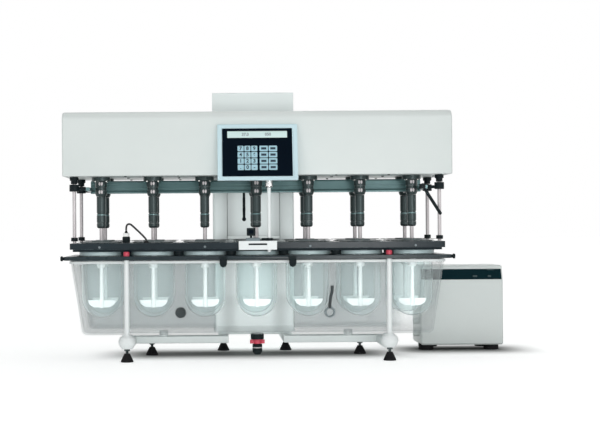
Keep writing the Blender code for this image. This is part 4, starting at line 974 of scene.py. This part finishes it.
def panelPlace(look):
    headFront = nodeLow("head_cover").y
    foot = Vector((underNode("head_cover").x, headFront - look["footDepth"], look["low"]))
    top = Vector((foot.x, headFront - look["headDepth"], look["high"]))
    across = Vector((1, 0, 0))
    up = (top - foot).normalized()
    out = across.cross(up)
    turn = Matrix((across, up, out)).transposed().to_4x4()
    return shift(foot) @ turn, (top - foot).length


def figure(text, size, depth, spot):
    curve = bpy.data.curves.new("figure", "FONT")
    curve.body = text
    curve.size = size
    curve.extrude = depth
    curve.offset = size * panelSettings["stroke"]
    curve.align_x = "CENTER"
    curve.align_y = "CENTER"
    shape = meshed(curve)
    bmesh.ops.remove_doubles(shape, verts=shape.verts, dist=meshSettings["merge"])
    return moved(shape, spot)


def keyTile(look, x, v, width, height):
    tile = standingRounded((x - width / 2, v - height / 2, 0.0002), (x + width / 2, v + height / 2,
        look["keyRise"]), look["keyRound"], 4)
    return softened(tile, 0.0003, 2, 40)


def makePanel(look):
    place, length = panelPlace(look)
    sunk = -look["recess"]
    half, edge, rise = look["half"], look["bezel"], look["keyRise"]
    glass = standingRounded((-half + look["glassLeft"], edge + 0.0003, sunk + 0.0002),
        (half - look["glassRight"], length - edge - 0.0003, sunk + 0.0009), 0.002, 3)
    makePiece("panelGlass", [placed(glass, place)], "panelGlass", "head")
    above = place @ shift((0, 0, sunk + 0.0009))
    left, low, width, top = look["display"]
    display = standingRounded((left, low, 0.0001), (left + width, top, 0.0006), 0.0012, 3)
    makePiece("displayStrip", [placed(softened(display, 0.0002, 1, 40), above)], "displayGlass", "head")
    keys, marks = [], []
    barX, barV = look["bar"]
    (numberX, numberV), (functionX, functionV) = look["numberCentre"], look["functionCentre"]
    for row, digits in enumerate(digitRows):
        v = numberV + (1.5 - row) * look["pitchY"]
        for column, digit in enumerate(digits):
            x = numberX + (column - 1) * look["numberPitch"]
            keys.append(keyTile(look, x, v, look["numberWidth"], look["keyHeight"]))
            marks.append(figure(digit, look["digitSize"], 0.00015, (x, v, rise + 0.0001)))
        v = functionV + (1.5 - row) * look["pitchY"]
        for column in range(2):
            x = functionX + (column - 0.5) * look["functionPitch"]
            keys.append(keyTile(look, x, v, look["functionWidth"], look["keyHeight"]))
            marks.append(block((x - barX, v - barV, rise), (x + barX, v + barV, rise + 0.0002)))
    makePiece("keyTiles", [placed(key, above) for key in keys], "keyMembrane", "head", ["keypad"])
    makePiece("keyFigures", [placed(mark, above) for mark in marks], "inkNavy", "head")
    shown = [figure(word, look["shownSize"], 0.0001, (left + width * share, (low + top) / 2, 0.0008))
        for word, share in look["shown"]]
    makePiece("displayFigures", [placed(word, above) for word in shown], "greyPlastic", "head")


makePanel(panelSettings)
print("control panel made")

# guide rods with their collars and knobs
rodSettings = {"radius": 0.00475, "collarRadius": 0.009, "collarHeight": 0.010, "knobRadius": 0.0116,
    "knobLow": 0.4604, "knobHigh": 0.4786}


def makeRods(look):
    for place in ("front_left", "rear_left", "front_right", "rear_right"):
        node = f"guide_rod_{place}"
        centre = underNode(node)
        word = "".join(part.capitalize() for part in place.split("_"))
        foot, top = nodeLow(node).z, nodeHigh(node).z
        plateTop = nodeHigh("vessel_plate").z
        radius, collar, knob = look["radius"], look["collarRadius"], look["knobRadius"]
        rod = turned([(0, foot), (radius, foot), (radius, top - 0.0008), (radius - 0.0008, top), (0, top)],
            centre, 28)
        makePiece(f"guideRod{word}", [rod], "satinSteel", "base", [node])
        low, high = plateTop + 0.0003, plateTop + look["collarHeight"]
        ring = turned(ringProfile(radius + 0.0002, collar, low, high, 0.0008), centre, 40)
        low, high = look["knobLow"], look["knobHigh"]
        step = (low + high) / 2
        cap = turned([(radius + 0.0002, low), (knob - 0.0035, low), (knob - 0.003, low + 0.0006),
            (knob - 0.003, step - 0.001), (knob - 0.0008, step), (knob, step + 0.0008), (knob, high - 0.0008),
            (knob - 0.0008, high), (radius + 0.0002, high), (radius + 0.0002, low)], centre, 40)
        makePiece(f"rodCollars{word}", [ring, cap], "blackPlastic", "base")


makeRods(rodSettings)

# manifold between the rows, with its yokes, sleeves, pull rod and lever
manifoldSettings = {"half": 0.440, "thick": 0.011, "low": 0.437, "high": 0.471, "lip": 0.004,
    "yokeWidth": 0.010, "yokeLow": 0.442, "yokeHigh": 0.452, "rodX": 0.4755, "rodY": 0.104,
    "linkRadius": 0.004, "sleeveRadius": 0.0125, "sleeveLow": 0.441, "sleeveHigh": 0.459,
    "rodRadius": 0.00475, "pullX": -0.031, "pullRadius": 0.0035, "pullBall": 0.0055, "pullLow": 0.361,
    "pullRings": 14, "pullStart": 0.034, "pullPitch": 0.0022, "lever": (0.430, -0.122, 0.449),
    "leverLength": 0.082, "leverRadius": 0.00425, "leverAngle": 32.3, "bossRadius": 0.0070,
    "bossHalf": 0.0040, "pinRadius": 0.0030}


def makeManifold(look):
    rodY, pullRadius = look["rodY"], look["pullRadius"]
    half, thick, lip = look["half"], look["thick"], look["lip"]
    low, high = look["low"], look["high"]
    outline = [(-half, y, z) for y, z in ((-thick - lip, low), (thick + lip, low), (thick + lip, low + lip),
        (thick, low + 2 * lip), (thick, high - lip), (thick - lip, high), (lip - thick, high),
        (-thick, high - lip), (-thick, low + 2 * lip), (-thick - lip, low + lip))]
    beam = softened(prism(outline, (2 * half, 0, 0)), 0.0008, 2, 20)
    parts = [moved(beam, origin)]
    for side in (-1, 1):
        yoke = block((side * half - look["yokeWidth"] / 2, -rodY - 0.005, look["yokeLow"]),
            (side * half + look["yokeWidth"] / 2, rodY + 0.005, look["yokeHigh"]))
        parts.append(moved(softened(yoke, 0.0012), origin))
    makePiece("manifoldBeam", parts, "tealMetal", "manifold", ["manifold_beam"])
    sleeves = []
    for side in (-1, 1):
        for row in (-1, 1):
            spot = origin + Vector((side * look["rodX"], row * rodY, 0))
            radius, inner = look["sleeveRadius"], look["rodRadius"] + 0.0004
            sleeves.append(turned(ringProfile(inner, radius, look["sleeveLow"], look["sleeveHigh"], 0.001),
                spot, 40))
            link = turned([(0, 0), (look["linkRadius"], 0), (look["linkRadius"],
                look["rodX"] - half - radius + 0.002), (0, look["rodX"] - half - radius + 0.002)], (0, 0, 0),
                24)
            turn = Matrix.Rotation(side * math.pi / 2, 4, "Y")
            heart = origin + Vector((side * half, row * rodY, (look["yokeLow"] + look["yokeHigh"]) / 2))
            sleeves.append(placed(link, shift(heart) @ turn))
    makePiece("manifoldSleeves", sleeves, "blackPlastic", "manifold")
    spot = origin + Vector((look["pullX"], 0, 0))
    ball, foot = look["pullBall"], look["pullLow"]
    arc = [(ball * math.sin(a), foot + ball - ball * math.cos(a)) for a in (math.pi * step / 12
        for step in range(10))]
    rings = []
    for index in range(look["pullRings"]):
        z = foot + look["pullStart"] + index * look["pullPitch"]
        rings += [(pullRadius + 0.0006, z), (pullRadius - 0.0001, z + 0.0011)]
    pull = turned(arc + [(pullRadius, foot + 2 * ball + 0.001)] + rings
        + [(pullRadius, low + 0.002), (0, low + 0.002)], spot, 28)
    makePiece("pullRod", [pull], "blackPlastic", "manifold")
    pivot = origin + Vector(look["lever"])
    pinBlock = block((pivot.x - 0.006, origin.y - rodY - 0.0045, look["yokeLow"] + 0.0004),
        (origin.x + half, origin.y - rodY + 0.0045, look["yokeHigh"] + 0.003))
    pin = turned([(0, 0), (look["pinRadius"], 0), (look["pinRadius"], 0.026), (0, 0.026)], (0, 0, 0), 24)
    pinPlace = shift((pivot.x, origin.y - rodY + 0.001, pivot.z)) @ towardFront
    makePiece("leverPin", [softened(pinBlock, 0.0008), placed(pin, pinPlace)], "blackPlastic", "manifold")
    radius, length = look["leverRadius"], look["leverLength"]
    grip = turned([(0, 0), (radius - 0.0008, 0), (radius - 0.0004, -0.012), (radius, -0.016),
        (radius, -length + 0.003), (radius - 0.0012, -length + 0.0008), (radius - 0.003, -length),
        (0, -length)], (0, 0, 0), 28)
    bore, boss, width = look["pinRadius"] + 0.0003, look["bossRadius"], look["bossHalf"]
    boss = turned(ringProfile(bore, boss, -width, width, 0.0008), (0, 0, 0), 32)
    swing = Matrix.Rotation(-math.radians(look["leverAngle"]), 4, "Y")
    start = shift((0, 0, -look["bossRadius"] + 0.001))
    makePiece("manifoldLever", [placed(grip, shift(pivot) @ swing @ start),
        placed(boss, shift(pivot) @ towardFront)], "blackPlastic", "lever",
        ["manifold_lever"])


makeManifold(manifoldSettings)
print("guide rods and manifold made")

# sampling pipe, holder fittings and clamp
pipeSettings = {"radius": 0.005, "tip": 0.281, "fittingRadius": 0.010, "fittingLow": 0.447,
    "fittingHigh": 0.4788}


def makePipe(look):
    centre = underNode("sampling_pipe")
    radius, wide = look["radius"], look["fittingRadius"]
    pipe = turned([(0, look["tip"]), (radius - 0.001, look["tip"]), (radius, look["tip"] + 0.001),
        (radius, look["fittingLow"] + 0.001), (0, look["fittingLow"] + 0.001)], centre, 28)
    makePiece("samplingPipe", [pipe], "whitePlastic", "head", ["sampling_pipe"])
    low, high = look["fittingLow"], look["fittingHigh"]
    fitting = turned([(0, low), (wide - 0.003, low), (wide - 0.001, low + 0.0015), (wide, low + 0.003),
        (wide, low + 0.010), (wide - 0.0015, low + 0.0112), (wide - 0.0015, low + 0.0135),
        (wide, low + 0.0147), (wide, high - 0.006), (wide - 0.0012, high - 0.0045), (wide - 0.0012, high),
        (0, high)], centre, 40)
    makePiece("pipeFitting", [fitting], "brightNickel", "head")


makePipe(pipeSettings)
holderSettings = {"half": 0.049, "low": 0.287, "front": -0.1653, "back": -0.1403, "shelf": 0.3063,
    "top": 0.3098, "hookBack": -0.1315, "slotHalf": 0.024, "slotLow": 0.2988, "slotHigh": 0.3036,
    "slotDepth": 0.003, "wedge": (-0.030, 0.006), "wedgeHigh": 0.3178, "wedgeRun": 0.008,
    "box": (-0.028, -0.006), "boxDepth": 0.014, "boxLow": 0.323, "boxHigh": 0.343, "stem": 0.003,
    "window": (0.0060, 0.0045, 0.0006)}


def makeHolder(look):
    slotLow, slotHigh, top = look["slotLow"], look["slotHigh"], look["top"]
    slotDepth, slotHalf = look["slotDepth"], look["slotHalf"]
    half, front, back, shelf = look["half"], look["front"], look["back"], look["shelf"]
    below = block((-half, front, look["low"]), (half, back, slotLow))
    strip = block((-half, front + slotDepth, slotLow - 0.0005), (half, back, slotHigh + 0.0005))
    ends = [block((min(side * half, side * slotHalf), front, slotLow - 0.0005),
        (max(side * half, side * slotHalf), front + slotDepth + 0.001, slotHigh + 0.0005))
        for side in (-1, 1)]
    above = block((-half, front, slotHigh), (half, back, top))
    hook = block((-half, back - 0.001, shelf), (half, look["hookBack"], top))
    parts = [moved(softened(shape, 0.0006), origin) for shape in (below, above, hook)]
    parts += [moved(shape, origin) for shape in (strip, *ends)]
    makePiece("pipeHolder", parts, "whitePlastic", "base", ["pipe_holder"])
    lining = block((-slotHalf + 0.0004, front + slotDepth - 0.0004, slotLow + 0.0004),
        (slotHalf - 0.0004, front + slotDepth + 0.0002, slotHigh - 0.0004))
    makePiece("holderSlot", [moved(lining, origin)], "blackPlastic", "base")
    left, right = look["wedge"]
    wedge = prism([(left, front + 0.0005, top - 0.0003), (left, back, top - 0.0003),
        (left, back, look["wedgeHigh"]), (left, front + look["wedgeRun"], look["wedgeHigh"])],
        (right - left, 0, 0))
    makePiece("holderWedge", [moved(softened(wedge, 0.0010), origin)], "greyPlastic", "base")
    left, right = look["box"]
    middle = (front + back) / 2
    shell = softened(block((left, middle - look["boxDepth"] / 2, look["boxLow"]),
        (right, middle + look["boxDepth"] / 2, look["boxHigh"])), 0.0014, 3)
    stem = block(((left + right) / 2 - look["stem"], middle - look["stem"], look["wedgeHigh"] - 0.001),
        ((left + right) / 2 + look["stem"], middle + look["stem"], look["boxLow"] + 0.001))
    makePiece("sensorBox", [moved(shell, origin), moved(stem, origin)], "blackPlastic", "base")
    wide, tall, rise = look["window"]
    window = standingRounded((-wide, -tall, 0), (wide, tall, rise), 0.0012, 3)
    spot = origin + Vector(((left + right) / 2, middle - look["boxDepth"] / 2,
        (look["boxLow"] + look["boxHigh"]) / 2))
    makePiece("sensorWindow", [placed(window, shift(spot) @ towardFront)], "panelGlass", "base")


makeHolder(holderSettings)
clampCopy = softened(copiedNode("pipe_clamp"), 0.0006, 2, 30)
makePiece("pipeClamp", [clampCopy], "blackPlastic", "clamp", ["pipe_clamp"])

# temperature probe with its free cable
probeSettings = {"bodyRadius": 0.0102, "bodyLow": 0.3063, "bodyHigh": 0.3223, "nutHigh": 0.3323,
    "nutRadius": 0.0085, "neckRadius": 0.004, "neckHigh": 0.3383, "knurls": 6, "knurlPitch": 0.0024,
    "gland": ((0, 0.3063), (0.0062, 0.3063), (0.0062, 0.3085), (0.0050, 0.3092), (0.0048, 0.3108),
    (0.0032, 0.3118), (0, 0.3118))}
cableSettings = {"radius": 0.0025, "points": ((-0.4345, -0.1675, 0.3386), (-0.4344, -0.1675, 0.3440),
    (-0.4335, -0.1678, 0.3500), (-0.4295, -0.1689, 0.3548), (-0.4235, -0.1706, 0.3545),
    (-0.4165, -0.1726, 0.3495), (-0.4095, -0.1746, 0.3430), (-0.4025, -0.1766, 0.3365),
    (-0.3955, -0.1786, 0.3298), (-0.3885, -0.1806, 0.3228), (-0.3835, -0.1820, 0.3168),
    (-0.3816, -0.1825, 0.3125), (-0.3815, -0.1825, 0.3116))}


def makeProbe(look, cable):
    bodyHigh, nutRadius, nutHigh = look["bodyHigh"], look["nutRadius"], look["nutHigh"]
    centre = underNode("temperature_probe")
    radius = look["bodyRadius"]
    knurl = [(0, look["bodyLow"]), (radius - 0.001, look["bodyLow"])]
    for index in range(look["knurls"]):
        z = look["bodyLow"] + 0.001 + index * look["knurlPitch"]
        knurl += [(radius, z), (radius, z + 0.0016), (radius - 0.0007, z + 0.0020)]
    knurl += [(radius - 0.001, bodyHigh), (0, bodyHigh)]
    makePiece("probeBody", [turned(knurl, centre, 40)], "blackPlastic", "base",
        ["temperature_probe"])
    nut = turned([(0, bodyHigh + 0.0001), (nutRadius - 0.0008, bodyHigh + 0.0001),
        (nutRadius, bodyHigh + 0.0008), (nutRadius, nutHigh - 0.0008), (nutRadius - 0.0008, nutHigh),
        (0, nutHigh)], centre, 6)
    makePiece("probeNut", [nut], "brightNickel", "base")
    neck = turned([(0, nutHigh), (look["neckRadius"] + 0.0006, nutHigh),
        (look["neckRadius"], nutHigh + 0.001), (look["neckRadius"] - 0.0012, look["neckHigh"] - 0.001),
        (cable["radius"] + 0.0002, look["neckHigh"]), (0, look["neckHigh"])], centre, 28)
    makePiece("probeSleeve", [neck], "softRubber", "base")
    curve = tubeCurve("probeCable", cable["radius"], 6, cable["points"])
    curve.resolution_u = 8
    lead = newObject("probeCable", curve)
    curve.materials.append(finish["cableJacket"])
    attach(lead, "base")
    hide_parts("probe_cable")
    gland = turned(look["gland"], (*cable["points"][-1][:2], 0), 32)
    makePiece("cableGland", [gland], "softRubber", "base")


makeProbe(probeSettings, cableSettings)
print("probe and cable made")

# drain valve and its tap
valveSettings = {"bodyRadius": 0.0175, "bodyLow": 0.0505, "stemRadius": 0.0075, "flareRadius": 0.013,
    "spoutLow": 0.010, "bore": 0.005, "seat": 0.018, "handleLow": 0.038, "handleRadius": 0.0105,
    "wingInner": 0.0088, "wing": 0.0195, "wingHalf": 0.004, "grooveDepth": 0.0012, "grooveLow": 0.0275,
    "grooveHigh": 0.0295}


def makeValve(look):
    handleLow, bodyLow, bodyRadius = look["handleLow"], look["bodyLow"], look["bodyRadius"]
    centre = underNode("drain_valve")
    top = nodeHigh("drain_valve").z
    stem, flare, bore = look["stemRadius"], look["flareRadius"], look["bore"]
    groove, grooveLow, grooveHigh = flare - look["grooveDepth"], look["grooveLow"], look["grooveHigh"]
    body = turned([(bore, top), (bodyRadius - 0.001, top), (bodyRadius, top - 0.001),
        (bodyRadius, bodyLow + 0.0012), (bodyRadius - 0.0012, bodyLow), (stem, bodyLow),
        (stem, handleLow - 0.0004), (flare - 0.001, handleLow - 0.0004), (flare, handleLow - 0.0014),
        (flare, grooveHigh + 0.001), (groove, grooveHigh), (groove, grooveLow), (flare, grooveLow - 0.001),
        (flare, look["seat"]), (stem + 0.001, look["spoutLow"] + 0.001), (stem, look["spoutLow"]),
        (bore, look["spoutLow"]), (bore, top)], centre, 44)
    makePiece("drainValve", [body], "blackPlastic", "base", ["drain_valve"])
    band = turned(squareRing(groove - 0.0002, flare + 0.0002, grooveLow - 0.0002, grooveHigh + 0.0002),
        centre, 44)
    makePiece("spoutBand", [band], "satinSteel", "base")
    low, high = handleLow + 0.0002, bodyLow - 0.0004
    radius = look["handleRadius"]
    ring = turned(ringProfile(stem + 0.0005, radius, low, high, 0.001), centre, 44)
    wings = []
    for side in (-1, 1):
        left, right = sorted((side * look["wingInner"], side * look["wing"]))
        wing = standingRounded((left, -look["wingHalf"], low + 0.0006),
            (right, look["wingHalf"], high - 0.0006), 0.0028, 4)
        wings.append(moved(softened(wing, 0.0008, 2, 40), centre))
    makePiece("drainTap", [ring, *wings], "redPlastic", "tap", ["drain_handle"])


makeValve(valveSettings)
print("drain valve made")

circulatorSettings = {"feet": ((0.479, 0.168), (0.660, 0.168), (0.505, 0.276), (0.655, 0.276)),
    "radius": 0.0210, "height": 0.0172, "marks": ((0.612, 0.2045, 0.012, 0.005),
    (0.652, 0.2045, 0.009, 0.005), (0.655, 0.2225, 0.020, 0.003)), "markRise": 0.0008}


def makeCirculatorTrim(look):
    radius, height = look["radius"], look["height"]
    feet = [turned([(0, 0), (radius - 0.0015, 0), (radius, 0.0010), (radius - 0.0010, height), (0, height)],
        origin + Vector((x, y, 0)), 32) for x, y in look["feet"]]
    makePiece("circulatorFeet", feet, "softRubber", "base")
    front = nodeLow("circulator_fascia").y
    marks = [softened(block((origin.x + x - width / 2, front - look["markRise"], z - height / 2),
        (origin.x + x + width / 2, front + look["markRise"], z + height / 2)), 0.0004) for x, z, width,
        height in look["marks"]]
    makePiece("fasciaMarks", marks, "fasciaInk", "base")


makeCirculatorTrim(circulatorSettings)
print("circulator trim made")

# rear fittings, out of the photograph's sight: a service panel on the column and ports on the circulator
rearSettings = {"half": 0.078, "low": 0.098, "high": 0.372, "rise": 0.0016, "edge": 0.009, "vents": 8,
    "ventLow": 0.276, "ventPitch": 0.0095, "ventHalf": 0.048, "ventHeight": 0.0038, "inletX": -0.036,
    "switchX": 0.014, "fuseX": 0.044, "socketZ": 0.146, "coverZ": (0.494, 0.628), "coverColumns": 6,
    "coverPitch": 0.180, "coverInset": 0.030, "panelScrew": (0.0032, 0.0018), "coverScrew": (0.0034, 0.0018),
    "portZ": (0.066, 0.108), "portX": -0.070, "caseVents": 6, "caseVentLow": 0.150, "caseVentHalf": 0.052,
    "caseVentPitch": 0.0100, "caseInletX": 0.070, "caseInletZ": 0.060,
    "socket": ((0.0245, 0.0150, 0.0018), (0.0130, 0.0088, 0.0024)), "pin": (0.0011, 0.0026, 0.0030),
    "pins": ((-0.0065, -0.002), (0, 0.003), (0.0065, -0.002)), "rocker": ((0, 0.0085, 0.0130, 0.0018),
    (0.0045, 0.0062, 0.0055, 0.0040), (-0.0055, 0.0062, 0.0050, 0.0026)),
    "fuse": ((0, 0), (0.0085, 0), (0.0085, 0.0020), (0.0062, 0.0024), (0.0058, 0.0060), (0, 0.0060)),
    "port": ((0.0035, 0), (0.0105, 0), (0.0105, 0.0030), (0.0060, 0.0032), (0.0060, 0.0056), (0.0066, 0.0062),
    (0.0055, 0.0086), (0.0035, 0.0086), (0.0035, 0))}


def rearSlab(place, x, z, half, tall, rise, width=0.0005):
    shape = softened(block((x - half, 0, z - tall), (x + half, rise, z + tall)), width, 2, 40)
    return placed(shape, place)


def socketShapes(look, place, x, z, rise):
    shell = [rearSlab(place, x, z, wide, tall, rise + out) for wide, tall, out in look["socket"]]
    wide, tall, out = look["pin"]
    pins = [rearSlab(place, x + side, z + lift, wide, tall, rise + out, 0.0003) for side,
        lift in look["pins"]]
    return shell, pins


def makeRearFittings(look):
    column, case = nodeMiddle("column_housing"), nodeMiddle("circulator_case")
    place = shift((column.x, nodeHigh("column_housing").y, 0))
    half, low, high, rise = look["half"], look["low"], look["high"], look["rise"]
    panel = rearSlab(place, 0, (low + high) / 2, half, (high - low) / 2, rise)
    makePiece("servicePanel", [panel], "litPalePaint", "base")
    heads = [screwHead(*look["panelScrew"], place @ shift((x, rise, z)) @ towardRear)
        for x in (-half + look["edge"], half - look["edge"]) for z in (low + look["edge"], (low + high) / 2,
        high - look["edge"])]
    vents = [rearSlab(place, 0, look["ventLow"] + row * look["ventPitch"], look["ventHalf"],
        look["ventHeight"] / 2, rise + 0.0006, 0.0003) for row in range(look["vents"])]
    shell, pins = socketShapes(look, place, look["inletX"], look["socketZ"], rise)
    rocker = [rearSlab(place, look["switchX"], look["socketZ"] + lift, wide, tall, rise + out) for lift, wide,
        tall, out in look["rocker"]]
    fusePlace = place @ shift((look["fuseX"], rise, look["socketZ"])) @ towardRear
    fuse = placed(turned(look["fuse"], (0, 0, 0), 32), fusePlace)
    port = shift((case.x, nodeHigh("circulator_case").y - 0.0006, 0))
    vents += [rearSlab(port, 0, look["caseVentLow"] + row * look["caseVentPitch"], look["caseVentHalf"],
        look["ventHeight"] / 2, 0.0012, 0.0003) for row in range(look["caseVents"])]
    caseShell, casePins = socketShapes(look, port, look["caseInletX"], look["caseInletZ"], 0)
    makePiece("rearVents", vents, "blackPlastic", "base")
    makePiece("rearSockets", shell + rocker + [fuse] + caseShell, "blackPlastic", "base")
    makePiece("socketPins", pins + casePins, "groundSteel", "base")
    spouts = []
    for z in look["portZ"]:
        spout = turned(look["port"], (0, 0, 0), 32)
        spouts.append(placed(spout, port @ shift((look["portX"], 0, z)) @ towardRear))
    makePiece("circulatorPorts", spouts, "satinSteel", "base")
    makePiece("serviceScrews", heads, "satinSteel", "base")
    cover, coverHigh, coverLow = nodeMiddle("head_cover"), nodeHigh("head_cover"), nodeLow("head_cover")
    heads = []
    for z in look["coverZ"]:
        for side, edge in ((-1, coverLow.x), (1, coverHigh.x)):
            turn = Matrix.Rotation(side * math.pi / 2, 4, "Y")
            for y in (coverLow.y + look["coverInset"], cover.y, coverHigh.y - look["coverInset"]):
                heads.append(screwHead(*look["coverScrew"], shift((edge, y, z)) @ turn))
        for index in range(look["coverColumns"]):
            x = cover.x + (index - (look["coverColumns"] - 1) / 2) * look["coverPitch"]
            heads.append(screwHead(*look["coverScrew"], shift((x, coverHigh.y, z)) @ towardRear))
    makePiece("coverScrews", heads, "satinSteel", "head")


makeRearFittings(rearSettings)
print("rear fittings made")

for node, material in (("drive_motor", "blackPlastic"), ("drive_belt", "beltRubber"),
        ("motor_pulley", "groundSteel")):
    dressNode(node, material)

# floor with a painted shadow under the machine and the circulator, backdrop and light
stageSettings = {"floorSize": 60, "floorColour": (0.86, 0.875, 0.87), "paintedShadowColour": (0.22, 0.225, 0.22),
    "nearGlow": 0.53, "farGlow": 0.76, "roughness": 0.9, "specular": 0.1, "aim": (-0.05, -0.05, 0.35),
    "shadowPatchSockets": ("Centre X", "Centre Y", "Inner X", "Outer X", "Inner Y", "Outer Y"), "nearEdge": 0.8,
    "farEdge": 4.0, "bounce": 0.5, "worldLight": 0.28, "shadowPatches": ((-0.0945, 0.0305, 0.27, 0.47, 0.02, 0.21),
    (0.4655, 0.1205, 0.09, 0.26, 0.02, 0.20)), "lamps": (("keyLamp", (-1.8, -3.0, 2.4), (2.2, 1.6), 8, True),
    ("fillLamp", (2.4, -2.8, 1.7), (2.0, 1.6), 4, True), ("leftLamp", (-2.6, -3.4, 1.55), (1.8, 1.4), 14,
    True), ("rightLamp", (2.6, -3.4, 1.45), (1.8, 1.4), 9, True), ("hazeLamp", (0.98, -3.9, 0.42), (1.3, 0.8),
    24, True), ("lowLamp", (-0.6, -3.6, 0.24), (2.4, 0.4), 22, False),
    ("topLamp", (0.0, 0.0, 2.9), (2.8, 2.2), 14, True), ("rearLamp", (0.6, 2.6, 1.8), (2.2, 1.4), 12, True)),
    "columnLamp": {"front": 0.040, "low": 0.055, "high": 0.445, "half": 0.15, "power": 0.23}}


# painted shadow: a soft rectangle, 1 inside and fading to 0 outside, that marks where the floor is darkened
def makeShadowPatchGroup():
    entries = [("Vector", "Vector", None)]
    entries += [(f"{word} {axis}", "Float", 0.0) for word in ("Centre", "Inner", "Outer") for axis in "XY"]
    group, entry, leave = newGroup("paintedShadowPatch", entries, [("Mask", "Float")])
    parts = addNode(group, "SeparateXYZ", {0: entry["Vector"]}).outputs
    sides = []
    for axis in "XY":
        reach = calculated(group, "ABSOLUTE", calculated(group, "SUBTRACT", parts[axis],
            entry[f"Centre {axis}"]))
        sides.append(ranged(group, reach, entry[f"Inner {axis}"], entry[f"Outer {axis}"], 1.0, 0.0,
            "SMOOTHSTEP"))
    feed(group, leave, {"Mask": calculated(group, "MULTIPLY", *sides)})
    return group


shadowPatchGroup = makeShadowPatchGroup()


def viewerShare(tree):
    path = addNode(tree, "LightPath").outputs
    direct = calculated(tree, "MAXIMUM", path["Is Camera Ray"], path["Is Glossy Ray"])
    return calculated(tree, "MAXIMUM", direct, path["Is Transmission Ray"])


def makeFloor(look):
    shape = bmesh.new()
    bmesh.ops.create_grid(shape, x_segments=1, y_segments=1, size=look["floorSize"] / 2)
    mesh = bpy.data.meshes.new("floor")
    shape.to_mesh(mesh)
    shape.free()
    floor = newObject("floor", mesh)
    material, tree, shader, place = newMaterial("floorFinish")
    # painted shadow: inside the patches the floor's colour turns dark and its glow is cut
    masks = []
    for patch in look["shadowPatches"]:
        values = {"Vector": place, **dict(zip(look["shadowPatchSockets"], patch))}
        masks.append(groupNode(tree, shadowPatchGroup, values).outputs["Mask"])
    paintedShadow = calculated(tree, "MAXIMUM", *masks)
    colours = {"Factor": paintedShadow, "A": (*look["floorColour"], 1), "B": (*look["paintedShadowColour"], 1)}
    away = addNode(tree, "VectorMath", {0: place}, operation="LENGTH").outputs["Value"]
    glow = ranged(tree, away, look["nearEdge"], look["farEdge"], look["nearGlow"], look["farGlow"],
        "SMOOTHSTEP")
    share = calculated(tree, "MULTIPLY", glow, calculated(tree, "SUBTRACT", 1.0, paintedShadow))
    seen = ranged(tree, viewerShare(tree), lowResult=look["bounce"])
    feed(tree, shader, {"Base Color": addNode(tree, "Mix", colours, data_type="RGBA").outputs["Result"],
        "Roughness": look["roughness"], "Specular IOR Level": look["specular"],
        "Emission Color": (1, 1, 1, 1), "Emission Strength": calculated(tree, "MULTIPLY", share, seen)})
    mesh.materials.append(material)


def makeWorld(look):
    world = bpy.data.worlds.new("studio")
    bpy.context.scene.world = world
    world.use_nodes = True
    tree = world.node_tree
    strength = ranged(tree, viewerShare(tree), lowResult=look["worldLight"])
    feed(tree, tree.nodes["Background"], {"Color": (1, 1, 1, 1), "Strength": strength})


def makeLamp(name, spot, size, power, mirrored, turn):
    data = bpy.data.lights.new(name, "AREA")
    data.shape = "RECTANGLE"
    data.size, data.size_y = size
    data.energy = power
    lamp = newObject(name, data)
    lamp.location = spot
    lamp.rotation_euler = turn
    lamp.visible_camera = False
    lamp.visible_glossy = mirrored


def makeLamps(look):
    for name, spot, size, power, mirrored in look["lamps"]:
        turn = (Vector(look["aim"]) - Vector(spot)).to_track_quat("-Z", "Y").to_euler()
        makeLamp(name, spot, size, power, mirrored, turn)
    column = look["columnLamp"]
    low, high = column["low"], column["high"]
    spot = (origin.x, nodeLow("column_housing").y - column["front"], (high + low) / 2)
    size = (2 * column["half"], high - low)
    makeLamp("columnLamp", spot, size, column["power"], False, (math.pi / 2, 0, 0))


makeFloor(stageSettings)
makeWorld(stageSettings)
makeLamps(stageSettings)
print("floor and light made")
